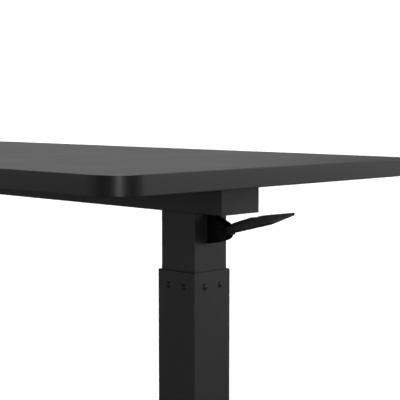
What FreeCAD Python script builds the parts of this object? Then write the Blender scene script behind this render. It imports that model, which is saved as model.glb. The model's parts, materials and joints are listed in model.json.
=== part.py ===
import FreeCAD, Part
import math
import os
import Sketcher
from FreeCAD import Placement, Rotation, Vector

# A sit-stand desk with two telescopic columns. Each column holds a lockable gas spring and a
# steep lead screw; a cross shaft in the beam keeps both screws in step, and a hand paddle on
# the right column opens both gas springs through a link, two rockers and a pull wire.
# Origin on the floor under the middle of the top, +X to the paddle side, +Y to the back.
doc = FreeCAD.newDocument("StandingDesk")
sheet = doc.addObject("Spreadsheet::Sheet", "Sizes")


class Size:
    """A spreadsheet cell, or a sum of cells, as text for setExpression."""

    def __init__(self, text):
        self.text = str(text)

    def __str__(self):
        return self.text

    def __add__(self, other):
        return Size(f"({self} + {other})")

    def __radd__(self, other):
        return Size(f"({other} + {self})")

    def __sub__(self, other):
        return Size(f"({self} - {other})")

    def __rsub__(self, other):
        return Size(f"({other} - {self})")

    def __mul__(self, other):
        return Size(f"({self} * {other})")

    def __rmul__(self, other):
        return Size(f"({other} * {self})")

    def __truediv__(self, other):
        return Size(f"({self} / {other})")

    def __neg__(self):
        return Size(f"(-1 * {self})")


sizes = {
    # overall, at the height the desk is stored at
    "deskLength": 1200, "deskDepth": 600, "deskHeight": 766,
    # tabletop: a faced board with an edge band all round
    "topThickness": 25, "topCorner": 48, "laminate": 0.8, "bandThickness": 1.5, "bandRound": 1,
    # beam under the top, and its end caps
    "beamInset": 87, "beamOverhang": 5, "beamSpare": 2.5, "beamWall": 2, "beamRound": 1.5,
    "lipWidth": 10, "capThickness": 3.2, "capRound": 3, "capPlug": 12, "plugGap": 0.3,
    # columns: inner tube slides in the outer tube on flat glide pads
    "columnInset": 176, "innerTube": 65, "tubeWall": 2, "tubeRound": 2.5, "glideGap": 1.5,
    "outerWall": 2, "innerTubeLength": 580, "tubeShown": 83,
    "padWidth": 44, "padHeight": 38, "slideGap": 0.15, "padInset": 3, "headThickness": 8,
    "glideScrewPitch": 30, "glideScrewDrop": 20.8, "glideScrewHead": 9, "glideScrewDome": 2.2,
    "glideScrewShank": 5,
    # foot beams and base plates
    "footLength": 580, "footWidth": 70, "footHeight": 30, "footWall": 2, "footRound": 3,
    "footCap": 3, "footClear": 12, "plateThickness": 6, "plateMargin": 29,
    "boltShank": 8, "boltHead": 13, "boltHeadHeight": 5, "boltX": 22, "boltY": 51, "boltDepth": 20,
    # levelling feet
    "levelInset": 32, "levelPad": 40, "levelPadHeight": 6, "levelHex": 13, "levelStud": 8,
    "levelStudLength": 26, "levelNut": 14, "levelNutHeight": 10,
    # gas springs
    "gasDiameter": 28, "gasBore": 24, "gasWallClear": 2.5, "gasLift": 12, "gasLength": 520,
    "gasEnd": 10, "gasStud": 10, "rodDiameter": 10, "rodLength": 536, "pistonHeight": 12,
    "rodAboveBeam": 12, "releasePin": 4, "pinAboveRod": 3, "pinDepth": 30,
    # lead screws and nuts
    "nutTube": 22, "nutTubeWall": 2, "nutWallClear": 4.5, "nutTubeLength": 552,
    "nutHeight": 22, "nutSpigot": 15, "screwDiameter": 14, "screwBelow": 475,
    "screwJournal": 10, "screwTip": 8, "runningFit": 0.05,
    # bevel gears on the screws and on the cross shaft
    "gearPitchRadius": 10, "gearFace": 3.5, "gearTeeth": 16, "gearAddendum": 0.9,
    "gearDedendum": 1.4, "gearHub": 3.6, "gearHubDiameter": 14,
    "shaftFlats": 10, "gearGap": 0.9, "journalLength": 15,
    # gearbox brackets and bushes
    "bracketPlate": 4, "bracketHalfWidth": 17, "bracketFootOut": 8.5,
    "bushWall": 3, "bushFlange": 1.5, "bushRim": 1,
    # release gear
    "rockerHeight": 18, "rockerReach": 13, "rockerLink": 38.7, "wireClear": 4.6,
    "rockerPlate": 2, "rockerGap": 4.8, "rockerHub": 10, "rockerEye": 4, "rockerPin": 5, "noseGap": 0.3,
    "earThickness": 2, "earGap": 0.6, "earClear": 0.5,
    "wireDiameter": 1.5, "nipple": 4.4, "nippleGap": 0.3, "sheathDiameter": 5, "sheathBore": 2.1,
    "linkDiameter": 4, "linkPin": 3, "clipPitch": 260, "clipWidth": 8, "clipWall": 1.5,
    # paddle and its bracket
    "hingeOut": 28.5, "hingeDrop": 24, "hingePin": 5, "bracketWidth": 16, "cheekThickness": 2,
    "bracketScrewUp": 9, "bracketScrewDown": 11,
    "bladeHalf": 24, "bladeThickness": 3.5, "bladeTip": 132, "neckHalf": 6,
    # arms that carry the top, and the fasteners of the top
    "armSpan": 235, "armRootDepth": 18, "armTipDepth": 6, "armWeb": 2.5, "armFlange": 30,
    "armPlate": 40, "sheetThickness": 2, "armBolt": 6, "armBoltHead": 10, "armBoltPitch": 24,
    "armScrewNear": 0.55, "armScrewFar": 0.88, "boltHoleFit": 0.6,
    "topScrew": 4, "topScrewHead": 8, "topScrewLength": 16, "topScrewPitch": 180,
}
for row, (alias, size) in enumerate(sizes.items(), start=1):
    sheet.set(f"A{row}", alias)
    sheet.set(f"B{row}", str(size))
    sheet.setAlias(f"B{row}", alias)
doc.recompute()

# One name for each cell, as text for expressions: deskLength is "Sizes.deskLength".
cell = {alias: Size(f"Sizes.{alias}") for alias in sizes}


def smaller(first, second):
    """The lesser of two sums of cells."""
    return Size(f"min({first}; {second})")


def number(value):
    """The value of a cell or a sum of cells, as a plain number."""
    result = sheet.evalExpression(str(value))
    return float(getattr(result, "Value", result))


# Heights, from the floor up and from the top down.
topZ = cell["deskHeight"]
beamTop = topZ - cell["topThickness"]

# Heights inside the beam, from its underside: the gears stand on the bracket's foot, the wire
# runs over them, and the beam is as tall as the rockers that pull the wire need.
gearRise = cell["beamWall"] + cell["bracketPlate"] + cell["bushFlange"] + cell["gearGap"]
shaftRise = gearRise + cell["gearHub"] + cell["gearPitchRadius"]
wireRise = shaftRise + cell["gearPitchRadius"] + cell["gearAddendum"] + cell["wireClear"]
beamTall = wireRise + cell["rockerEye"] + cell["beamSpare"]
beamZ = beamTop - beamTall
floorZ = beamZ + cell["beamWall"]
outerTop = beamZ - cell["tubeShown"]
footTop = cell["footClear"] + cell["footHeight"]
plateTop = footTop + cell["plateThickness"]
innerZ = beamZ - cell["innerTubeLength"]

# Half widths of the nested square tubes.
halfX = cell["deskLength"] / 2
halfY = cell["deskDepth"] / 2
columnX = halfX - cell["columnInset"]
innerHalf = cell["innerTube"] / 2
cavityHalf = innerHalf - cell["tubeWall"]
outerBore = innerHalf + cell["glideGap"]
outerHalf = outerBore + cell["outerWall"]
beamHalfY = innerHalf + cell["beamOverhang"]
beamHalfX = halfX - cell["beamInset"]

# Inside a column: the gas spring stands on the outer side, the screw on the inner side.
gasX = columnX + cavityHalf - cell["gasWallClear"] - cell["gasDiameter"] / 2
screwX = columnX - cavityHalf + cell["nutWallClear"] + cell["nutTube"] / 2
gearBack = beamZ + gearRise
shaftZ = beamZ + shaftRise
rodTop = beamZ + cell["rodAboveBeam"]
pinTop = rodTop + cell["pinAboveRod"]

# Release gear: both rockers turn the same way, each pressing its pin at rockerReach.
rockerZ = beamZ + cell["rockerHeight"]
rightRockerX = gasX - cell["rockerReach"]
leftRockerX = -gasX - cell["rockerReach"]
wireZ = beamZ + wireRise
linkX = rightRockerX + cell["rockerLink"]
hingeX = columnX + innerHalf + cell["hingeOut"]
hingeZ = beamZ - cell["hingeDrop"]

# The ears that carry a rocker stand clear of the screw's gear and of the gas spring's rod.
gearSpace = rightRockerX - screwX - cell["gearPitchRadius"]
rodSpace = cell["rockerReach"] - cell["rodDiameter"] / 2
earHalf = smaller(gearSpace, rodSpace) - cell["earClear"]

turns = {"x": Rotation(Vector(0, 1, 0), 90), "y": Rotation(Vector(1, 0, 0), -90), "z": Rotation()}
sides = {"left": -1, "right": 1}
parts = []


def keep(piece, label):
    """Names a finished sub-part; its label is the name of its file."""
    piece.Label = label
    parts.append(piece)
    return piece


def place(piece, x, y, z, turn=None):
    piece.Placement = Placement(Vector(), turn or Rotation())
    for letter, value in zip("xyz", (x, y, z)):
        piece.setExpression(f"Placement.Base.{letter}", str(value))
    return piece


# ---- plain pieces from Part primitives ----

def box(x, y, z):
    """A block between two planes along each axis, each a (low, high) pair."""
    piece = doc.addObject("Part::Box", "Block")
    for side, (low, high) in zip(("Length", "Width", "Height"), (x, y, z)):
        piece.setExpression(side, f"({high}) - ({low})")
    return place(piece, x[0], y[0], z[0])


def rod(diameter, at, length, along="z"):
    """A round bar that starts at a point and runs along one axis."""
    piece = doc.addObject("Part::Cylinder", "Round")
    piece.setExpression("Radius", f"({diameter}) / 2")
    piece.setExpression("Height", str(length))
    return place(piece, *at, turns[along])


def hexBar(flats, at, length, along="z"):
    piece = doc.addObject("Part::Prism", "Hexagon")
    piece.Polygon = 6
    piece.setExpression("Circumradius", f"({flats}) / 2 / cos(30 deg)")
    piece.setExpression("Height", str(length))
    return place(piece, *at, turns[along])


def join(*pieces):
    if len(pieces) == 1:
        return pieces[0]
    whole = doc.addObject("Part::MultiFuse", "Joined")
    whole.Shapes = list(pieces)
    whole.Refine = True
    return whole


def cut(base, *tools):
    piece = doc.addObject("Part::Cut", "Cut")
    piece.Base = base
    piece.Tool = join(*tools)
    return piece


def group(*pieces):
    """Identical pieces that share one node, each still a solid of its own."""
    whole = doc.addObject("Part::Compound", "Group")
    whole.Links = list(pieces)
    return whole


# ---- PartDesign bodies ----

def newBody():
    return doc.addObject("PartDesign::Body", "Body")


def sketchOn(body, plane, outlines=(), circles=()):
    """A sketch on one of the body's own planes; every corner and centre is bound to cells."""
    sketch = body.newObject("Sketcher::SketchObject", "Sketch")
    origin = [one for one in body.Origin.OriginFeatures if one.Role == plane][0]
    sketch.AttachmentSupport = [(origin, "")]
    sketch.MapMode = "FlatFace"

    def bind(kind, points, value):
        size = number(value)
        index = sketch.addConstraint(Sketcher.Constraint(kind, *points, size))
        sketch.setExpression(f"Constraints[{index}]", str(value))

    for outline in outlines:
        corners = [Vector(number(x), number(y), 0) for x, y in outline]
        first = sketch.GeometryCount
        count = len(corners)
        for i, corner in enumerate(corners):
            sketch.addGeometry(Part.LineSegment(corner, corners[(i + 1) % count]))
        for i, (x, y) in enumerate(outline):
            after = first + (i + 1) % count
            sketch.addConstraint(Sketcher.Constraint("Coincident", first + i, 2, after, 1))
            bind("DistanceX", (-1, 1, first + i, 1), x)
            bind("DistanceY", (-1, 1, first + i, 1), y)
    for x, y, diameter in circles:
        centre = Vector(number(x), number(y), 0)
        ring = sketch.addGeometry(Part.Circle(centre, Vector(0, 0, 1), number(diameter) / 2))
        bind("DistanceX", (-1, 1, ring, 3), x)
        bind("DistanceY", (-1, 1, ring, 3), y)
        bind("Diameter", (ring,), diameter)
    return sketch


def pad(body, sketch, length, bothWays=False):
    feature = body.newObject("PartDesign::Pad", "Pad")
    feature.Profile = sketch
    feature.SideType = "Symmetric" if bothWays else "One side"
    feature.setExpression("Length", str(length))
    doc.recompute()
    return feature


def pocketThrough(body, sketch):
    """Cuts a sketch through the whole body, both ways."""
    feature = body.newObject("PartDesign::Pocket", "Pocket")
    feature.Profile = sketch
    feature.Type = "ThroughAll"
    feature.SideType = "Symmetric"
    doc.recompute()
    return feature


def roundEdges(body, radius, wanted):
    """Rounds the straight edges of the body's tip that a test picks by their ends."""
    base = body.Tip
    names = []
    for index, edge in enumerate(base.Shape.Edges, start=1):
        if len(edge.Vertexes) == 2 and wanted(edge.Vertexes[0].Point, edge.Vertexes[1].Point):
            names.append(f"Edge{index}")
    feature = body.newObject("PartDesign::Fillet", "Fillet")
    feature.Base = (base, names)
    feature.setExpression("Radius", str(radius))
    doc.recompute()
    return feature


def upright(a, b):
    return abs(a.x - b.x) < 0.01 and abs(a.y - b.y) < 0.01


def lengthwise(a, b):
    return abs(a.x - b.x) > 0.01 and abs(a.y - b.y) < 0.01 and abs(a.z - b.z) < 0.01


def across(a, b):
    return abs(a.y - b.y) > 0.01 and abs(a.x - b.x) < 0.01 and abs(a.z - b.z) < 0.01


def rectangle(x, y):
    """Corner points of a rectangle centred on the origin, from its two half widths."""
    return [(-x, -y), (x, -y), (x, y), (-x, y)]


def roundedSlab(halfWidth, halfDepth, radius, z, thickness):
    """A flat board with rounded corners, its underside at height z."""
    body = newBody()
    pad(body, sketchOn(body, "XY_Plane", [rectangle(halfWidth, halfDepth)]), thickness)
    roundEdges(body, radius, upright)
    return place(body, 0, 0, z)


def squareTube(half, wall, radius, length, holes=()):
    """An upright square tube on the origin; holes are (plane, circles) cut right through."""
    body = newBody()
    pad(body, sketchOn(body, "XY_Plane", [rectangle(half, half)]), length)
    roundEdges(body, radius, upright)
    inside = half - wall
    pocketThrough(body, sketchOn(body, "XY_Plane", [rectangle(inside, inside)]))
    limit = number(inside) + 0.01
    roundEdges(body, radius / 2, lambda a, b: upright(a, b) and max(abs(a.x), abs(a.y)) < limit)
    for plane, circles in holes:
        pocketThrough(body, sketchOn(body, plane, circles=circles))
    return body


# ---- tabletop ----

def topScrewSpots():
    """Where the screws of the top go: (x, y, underside of the sheet metal)."""
    spots = []
    lipY = beamHalfY - cell["beamWall"] - cell["lipWidth"] / 2
    for step in (-2, -1, 0, 1, 2):
        for way in (-1, 1):
            spots.append((cell["topScrewPitch"] * step, lipY * way, cell["beamWall"]))
    for side in (-1, 1):
        for way in (-1, 1):
            for reach in (cell["armScrewNear"], cell["armScrewFar"]):
                x = columnX * side + cell["armFlange"] / 4
                spots.append((x, cell["armSpan"] * reach * way, cell["sheetThickness"]))
    return spots


def makeTop():
    band = cell["bandThickness"]
    coreX = halfX - band
    coreY = halfY - band
    corner = cell["topCorner"] - band
    skin = cell["laminate"]
    core = roundedSlab(coreX, coreY, corner, beamTop + skin, cell["topThickness"] - 2 * skin)
    under = roundedSlab(coreX, coreY, corner, beamTop, skin)
    spots = topScrewSpots()
    length = cell["topScrewLength"]
    pilots = [rod(cell["topScrew"], (x, y, beamTop), length) for x, y, sheetZ in spots]
    through = [rod(cell["topScrew"], (x, y, beamTop), length) for x, y, sheetZ in spots]
    keep(cut(core, *pilots), "tabletop_core")
    keep(cut(under, *through), "bottom_laminate")
    keep(roundedSlab(coreX, coreY, corner, topZ - skin, skin), "top_laminate")
    outer = roundedSlab(halfX, halfY, cell["topCorner"], beamTop, cell["topThickness"])
    rounded = doc.addObject("Part::Fillet", "BandRound")
    rounded.Base = outer
    doc.recompute()
    level = (number(beamTop), number(topZ))
    edges = []
    for index, edge in enumerate(outer.Shape.Edges, start=1):
        zs = [point.Point.z for point in edge.Vertexes]
        if max(zs) - min(zs) < 0.01 and min(abs(zs[0] - one) for one in level) < 0.01:
            edges.append((index, number(cell["bandRound"]), number(cell["bandRound"])))
    rounded.Edges = edges
    inner = roundedSlab(coreX, coreY, corner, beamTop, cell["topThickness"])
    keep(cut(rounded, inner), "edge_band")


def makeTopScrews():
    screws = []
    for x, y, sheetZ in topScrewSpots():
        head = rod(cell["topScrewHead"], (x, y, beamTop - sheetZ - 2), 2)
        shank = rod(cell["topScrew"], (x, y, beamTop - sheetZ), cell["topScrewLength"] + sheetZ)
        screws.append(join(head, shank))
    keep(group(*screws), "tabletop_screws")


# ---- beam, its caps and the arms ----

def boltSpotsAtHead():
    """Column bolts: four at each head plate, well clear of the gas rod and the screw."""
    reach = cavityHalf - cell["armBolt"] - 1.5
    spots = []
    for side in (-1, 1):
        for x in (-1, 1):
            for y in (-1, 1):
                spots.append((columnX * side + reach * x, reach * y))
    return spots


def makeBeam():
    """A channel open upwards, with a lip turned in along each top edge."""
    wall = cell["beamWall"]
    tall = beamTall
    lipIn = beamHalfY - cell["lipWidth"] - wall
    right = [(beamHalfY, 0), (beamHalfY, tall), (lipIn, tall), (lipIn, tall - wall),
             (beamHalfY - wall, tall - wall), (beamHalfY - wall, wall)]
    left = [(-y, z) for y, z in reversed(right)]
    body = newBody()
    length = 2 * (beamHalfX - cell["capThickness"])
    pad(body, sketchOn(body, "YZ_Plane", [right + left]), length, bothWays=True)
    roundEdges(body, cell["beamRound"], lambda a, b: lengthwise(a, b) and a.z < 0.01)
    place(body, 0, 0, beamZ)
    deep = (beamZ - 1, wall + 2)
    holes = []
    for x, y in boltSpotsAtHead():
        holes.append(rod(cell["armBolt"] + cell["boltHoleFit"], (x, y, deep[0]), deep[1]))
    for side in (-1, 1):
        bush = cell["screwJournal"] + 2 * cell["bushWall"]
        holes.append(rod(bush, (screwX * side, 0, deep[0]), deep[1]))
        holes.append(rod(cell["rodDiameter"] + cell["boltHoleFit"], (gasX * side, 0, deep[0]), deep[1]))
        for x, z in armBoltSpots(side):
            start = -beamHalfY - 1
            holes.append(rod(cell["armBolt"] + cell["boltHoleFit"], (x, start, z), 2 * beamHalfY + 2, "y"))
    holes.append(rod(cell["linkDiameter"] + 4, (linkX, 0, deep[0]), deep[1]))
    beamScrews = topScrewSpots()[:10]  # the rest go through the arms
    for x, y, sheetZ in beamScrews:
        holes.append(rod(cell["topScrew"] + cell["boltHoleFit"], (x, y, beamTop - wall - 1), wall + 2))
    keep(cut(body, *holes), "cross_beam")


def makeBeamCaps():
    """A flush cap closes each end of the beam, with a plug that fits inside the channel."""
    wall = cell["beamWall"] + cell["plugGap"]
    plugY = beamHalfY - wall
    caps = []
    for side in (-1, 1):
        body = newBody()
        thick = cell["capThickness"]
        face = rectangle(thick / 2, beamHalfY)
        pad(body, sketchOn(body, "XY_Plane", [face]), beamTall)
        outside = number(thick) / 2 * side
        roundEdges(body, cell["capRound"], lambda a, b: upright(a, b) and abs(a.x - outside) < 0.01)
        place(body, (beamHalfX - thick / 2) * side, 0, beamZ)
        near = (beamHalfX - thick - cell["capPlug"]) * side
        far = (beamHalfX - thick) * side
        ends = (near, far) if side > 0 else (far, near)
        low = beamZ + wall
        high = beamTop - wall
        plug = box(ends, (-plugY, plugY), (low, high))
        plugWall = 2
        hollow = box(ends, (-plugY + plugWall, plugY - plugWall), (low + plugWall, high - plugWall))
        caps.append(join(body, cut(plug, hollow)))
    keep(group(*caps), "beam_end_caps")


def armBoltSpots(side):
    """Two bolts hold each arm's root plate to the beam: (x, z) at one column."""
    z = beamTop - cell["armRootDepth"] / 2 - 1
    half = cell["armBoltPitch"] / 2
    return [(columnX * side - half, z), (columnX * side + half, z)]


def makeArm(side, way, label):
    """A tapered arm: an upright web, a flange under the top and a root plate on the beam."""
    root = beamHalfY
    thick = cell["sheetThickness"]
    span = cell["armSpan"]
    web = [(root, -cell["armRootDepth"]), (span, -cell["armTipDepth"]), (span, 0), (root, 0)]
    flange = [(root, -thick), (span, -thick), (span, 0), (root, 0)]
    plate = [(root, -cell["armRootDepth"]), (root + thick, -cell["armRootDepth"]),
             (root + thick, 0), (root, 0)]
    body = newBody()
    widths = (cell["armWeb"], cell["armFlange"], cell["armPlate"])
    for outline, width in zip((web, flange, plate), widths):
        profile = [(y * way, z) for y, z in outline]
        pad(body, sketchOn(body, "YZ_Plane", [profile]), width, bothWays=True)
    place(body, columnX * side, 0, beamTop)
    holes = []
    for x, z in armBoltSpots(side):
        start = root - 1 if way > 0 else -root - thick - 1
        holes.append(rod(cell["armBolt"] + cell["boltHoleFit"], (x, start, z), thick + 2, "y"))
    for x, y, seat in topScrewSpots()[10:]:
        mine = number(x) * side > 0 and number(y) * way > 0
        if mine:
            hole = cell["topScrew"] + cell["boltHoleFit"]
            holes.append(rod(hole, (x, y, beamTop - seat - 1), seat + 2))
    keep(cut(body, *holes), label)


def makeArmBolts():
    """Each bolt has its head on the arm's root plate and a nut's end inside the beam wall."""
    bolts = []
    head = 4
    for side in (-1, 1):
        for x, z in armBoltSpots(side):
            outside = beamHalfY + cell["sheetThickness"]
            shank = cell["beamWall"] + cell["sheetThickness"] + 5
            front = join(rod(cell["armBoltHead"], (x, -outside - head, z), head, "y"),
                         rod(cell["armBolt"], (x, -outside, z), shank, "y"))
            back = join(rod(cell["armBoltHead"], (x, outside, z), head, "y"),
                        rod(cell["armBolt"], (x, outside - shank, z), shank, "y"))
            bolts += [front, back]
    keep(group(*bolts), "arm_bolts")


# ---- columns ----

def glideHoles(along):
    """Two holes through opposite faces, seen along X or Y: (across, height, diameter)."""
    half = cell["glideScrewPitch"] / 2
    height = outerTop - plateTop - cell["glideScrewDrop"]
    clear = cell["glideScrewShank"] + 0.1
    return along, [(-half, height, clear), (half, height, clear)]


def makeOuterTube(side, label):
    holes = [glideHoles("YZ_Plane"), glideHoles("XZ_Plane")]
    height = outerTop - plateTop
    tube = squareTube(outerHalf, cell["outerWall"], cell["tubeRound"], height, holes)
    keep(place(tube, columnX * side, 0, plateTop), label)


def makeInnerTube(side, label):
    """The right tube's outer wall is drilled for the screws of the lever bracket."""
    tube = squareTube(innerHalf, cell["tubeWall"], cell["tubeRound"], cell["innerTubeLength"])
    place(tube, columnX * side, 0, innerZ)
    if side < 0:
        keep(tube, label)
        return
    wallX = columnX + innerHalf - cell["tubeWall"] - 1
    drills = [rod(cell["armBolt"] - 1, (wallX, 0, z), cell["tubeWall"] + 2, "x")
              for z in bracketScrewHeights()]
    keep(cut(tube, *drills), label)


def bracketScrewHeights():
    return [hingeZ + cell["bracketScrewUp"], hingeZ - cell["bracketScrewDown"]]


def glidePads(x, low, inner, outer):
    """Four flat pads round a column, between two half widths, from a height up."""
    half = cell["padWidth"] / 2
    z = (low, low + cell["padHeight"])
    pads = []
    for near, far in ((inner, outer), (-outer, -inner)):
        pads.append(box((x + near, x + far), (-half, half), z))
        pads.append(box((x - half, x + half), (near, far), z))
    return pads


def screwFaces(x):
    """The glide screws of one column: (point on the tube's face, axis, outward sign)."""
    half = cell["glideScrewPitch"] / 2
    z = outerTop - cell["glideScrewDrop"]
    spots = []
    for shift in (-half, half):
        for out in (-1, 1):
            spots.append(((x + outerHalf * out, shift, z), "x", out))
            spots.append(((x + shift, outerHalf * out, z), "y", out))
    return spots


def makeGlides():
    upper = []
    lower = []
    screws = []
    for side in (-1, 1):
        x = columnX * side
        low = outerTop - cell["padInset"] - cell["padHeight"]
        pads = glidePads(x, low, innerHalf + cell["slideGap"], outerBore)
        depth = cell["outerWall"] + cell["glideGap"] - cell["slideGap"]
        for spot, along, out in screwFaces(x):
            shank = shankFrom(spot, along, out, cell["glideScrewShank"], depth - 0.3)
            screws.append(join(domeHead(spot, along, out), shank))
        drills = [shankFrom(spot, along, out, cell["glideScrewShank"] + 0.1, depth + 1)
                  for spot, along, out in screwFaces(x)]
        upper.append(cut(join(*pads), *drills))
        lower += glidePads(x, innerZ + cell["padInset"], innerHalf, outerBore - cell["slideGap"])
    keep(group(*upper), "upper_glides")
    keep(group(*lower), "lower_glides")
    keep(group(*screws), "glide_screws")


def shankFrom(spot, along, out, diameter, depth):
    """A bar that runs inwards from a point on a column's face."""
    index = "xy".index(along)
    start = list(spot)
    if out > 0:
        start[index] = start[index] - depth
    return rod(diameter, start, depth, along)


def domeHead(spot, along, out):
    """The low domed head of a screw, a slice of a ball that stands on the face."""
    radius = number(cell["glideScrewHead"]) / 2
    dome = number(cell["glideScrewDome"])
    ball = (radius * radius + dome * dome) / (2 * dome)
    piece = doc.addObject("Part::Sphere", "Dome")
    piece.Radius = ball
    piece.Angle1 = math.degrees(math.asin((ball - dome) / ball))
    turn = {("x", 1): Rotation(Vector(0, 1, 0), 90), ("x", -1): Rotation(Vector(0, 1, 0), -90),
            ("y", 1): Rotation(Vector(1, 0, 0), -90), ("y", -1): Rotation(Vector(1, 0, 0), 90)}
    centre = list(spot)
    index = "xy".index(along)
    centre[index] = centre[index] - (ball - dome) * out
    return place(piece, *centre, turn[(along, out)])


def makeHeads():
    """A plate welded inside the top of each inner tube takes the bolts of the beam."""
    plates = []
    bolts = []
    thick = cell["headThickness"]
    z = (beamZ - thick, beamZ)
    for side in (-1, 1):
        x = columnX * side
        # corners cut back so that the plate clears the tube's inner rounding
        plate = join(box((x - cavityHalf, x + cavityHalf), (2 - cavityHalf, cavityHalf - 2), z),
                     box((x - cavityHalf + 2, x + cavityHalf - 2), (-cavityHalf, cavityHalf), z))
        bush = cell["screwJournal"] + 2 * cell["bushWall"]
        holes = [rod(bush, (screwX * side, 0, z[0] - 1), thick + 2),
                 rod(cell["rodDiameter"], (gasX * side, 0, z[0] - 1), thick + 2)]
        for boltX, boltY in boltSpotsAtHead():
            if number(boltX) * side > 0:
                holes.append(rod(cell["armBolt"], (boltX, boltY, z[0] - 1), thick + 2))
        plates.append(cut(plate, *holes))
    for boltX, boltY in boltSpotsAtHead():
        bolts.append(join(rod(cell["armBoltHead"], (boltX, boltY, floorZ), 5),
                          rod(cell["armBolt"], (boltX, boltY, beamZ - thick), thick + cell["beamWall"])))
    keep(group(*plates), "column_heads")
    keep(group(*bolts), "column_bolts")


# ---- gas springs and lead screws ----

def makeGasSpring(side, name):
    x = gasX * side
    low = plateTop + cell["gasLift"]
    high = low + cell["gasLength"]
    end = cell["gasEnd"]
    shell = join(rod(cell["gasDiameter"], (x, 0, low), cell["gasLength"]),
                 rod(cell["gasStud"], (x, 0, footTop), plateTop + cell["gasLift"] - footTop))
    hole = cell["rodDiameter"] + 2 * cell["runningFit"]
    inside = join(rod(cell["gasBore"], (x, 0, low + end), cell["gasLength"] - 2 * end),
                  rod(hole, (x, 0, high - end - 1), end + 2))
    keep(cut(shell, inside), f"{name}_gas_cylinder")
    foot = rodTop - cell["rodLength"]
    bar = rod(cell["rodDiameter"], (x, 0, foot), cell["rodLength"])
    pinHole = rod(cell["releasePin"] + 2 * cell["runningFit"], (x, 0, rodTop - cell["pinDepth"]),
                  cell["pinDepth"] + 1)
    piston = rod(cell["gasBore"] - 2 * cell["runningFit"], (x, 0, foot), cell["pistonHeight"])
    keep(cut(join(bar, piston), pinHole), f"{name}_gas_rod")
    # the pin stops short of the blind end of its hole by its travel and more
    spare = 4
    length = cell["pinDepth"] - spare + cell["pinAboveRod"]
    pin = rod(cell["releasePin"], (x, 0, pinTop - length), length)
    keep(pin, f"{name}_release_pin")


def makeNuts():
    """A tube stands on each base plate and holds the nut of the lead screw at its top."""
    tubes = []
    nuts = []
    length = cell["nutTubeLength"]
    bore = cell["nutTube"] - 2 * cell["nutTubeWall"]
    spigot = cell["nutSpigot"]
    top = plateTop + length
    hole = cell["screwDiameter"] + 2 * cell["runningFit"]
    for side in (-1, 1):
        x = screwX * side
        tubes.append(cut(rod(cell["nutTube"], (x, 0, plateTop), length),
                         rod(bore, (x, 0, plateTop - 1), length + 2)))
        body = join(rod(cell["nutTube"], (x, 0, top), cell["nutHeight"]),
                    rod(bore, (x, 0, top - spigot), spigot))
        nuts.append(cut(body, rod(hole, (x, 0, top - spigot - 1), cell["nutHeight"] + spigot + 2)))
    keep(group(*tubes), "nut_tubes")
    keep(group(*nuts), "lead_nuts")


def gearShape():
    """A straight bevel gear of a 1:1 pair: axis +Z, pitch cones meeting at the origin, teeth
    on the -Z side. Its cross section shrinks in proportion towards the origin."""
    pitch = number(cell["gearPitchRadius"])
    teeth = int(number(cell["gearTeeth"]))
    tip = pitch + number(cell["gearAddendum"])
    root = pitch - number(cell["gearDedendum"])
    step = 2 * math.pi / teeth
    flanks = ((root, -0.31), (tip, -0.12), (tip, 0.12), (root, 0.31))
    wires = []
    for depth in (pitch, pitch - number(cell["gearFace"])):
        points = []
        for tooth in range(teeth):
            for radius, share in flanks:
                angle = (tooth + share) * step
                reach = radius * depth / pitch
                points.append(Vector(reach * math.cos(angle), reach * math.sin(angle), -depth))
        wires.append(Part.makePolygon(points + points[:1]))
    toothed = Part.makeLoft(wires, True, True)
    hub = number(cell["gearHub"])
    back = Part.makeCone(root - 1, root, hub, Vector(0, 0, -pitch - hub))
    return toothed.fuse(back).removeSplitter()


def bevelGear(x, turn=None):
    """A gear whose pitch apex lies where a screw's axis meets the cross shaft's."""
    gear = doc.addObject("Part::Feature", "BevelGear")
    gear.Shape = gearShape()
    return place(gear, x, 0, shaftZ, turn)


def makeScrew(side, name):
    x = screwX * side
    low = beamZ - cell["screwBelow"]
    shoulder = beamZ - cell["headThickness"] - 0.3
    gearTop = shaftZ - cell["gearPitchRadius"] + cell["gearFace"]
    screw = join(rod(cell["screwDiameter"], (x, 0, low), shoulder - low),
                 rod(cell["screwJournal"], (x, 0, shoulder), gearBack - shoulder),
                 rod(cell["screwTip"], (x, 0, gearBack), gearTop - gearBack))
    keep(screw, f"{name}_lead_screw")
    bore = rod(cell["screwTip"], (x, 0, gearBack - 1), gearTop - gearBack + 2)
    # a tooth of this gear points at the cross shaft, where the shaft gear has a gap
    keep(cut(bevelGear(x), bore), f"{name}_screw_gear")


def makeShaft():
    """A hexagon shaft plugs into a gear at each end, whose hub turns in the bracket's bush."""
    gears = []
    depth = cell["gearPitchRadius"]
    end = screwX - depth + cell["gearFace"]
    shaft = hexBar(cell["shaftFlats"], (-end, 0, shaftZ), 2 * end, "x")
    keep(shaft, "cross_shaft")
    halfTooth = 180 / sizes["gearTeeth"]
    for side in (-1, 1):
        # gear axis along the shaft, apex over the screw, gap turned to the screw gear
        turn = Rotation(Vector(0, 1, 0), 90 * side).multiply(Rotation(Vector(0, 0, 1), halfTooth))
        hubBack = screwX - depth - cell["gearHub"]
        low = hubBack - cell["journalLength"]
        start = low if side > 0 else -hubBack
        bore = hexBar(cell["shaftFlats"], (-end - 1, 0, shaftZ), 2 * end + 2, "x")
        gear = bevelGear(screwX * side, turn)
        hub = rod(cell["gearHubDiameter"], (start, 0, shaftZ), cell["journalLength"], "x")
        gears.append(cut(join(gear, hub), bore))
    keep(group(*gears), "shaft_gears")


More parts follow.
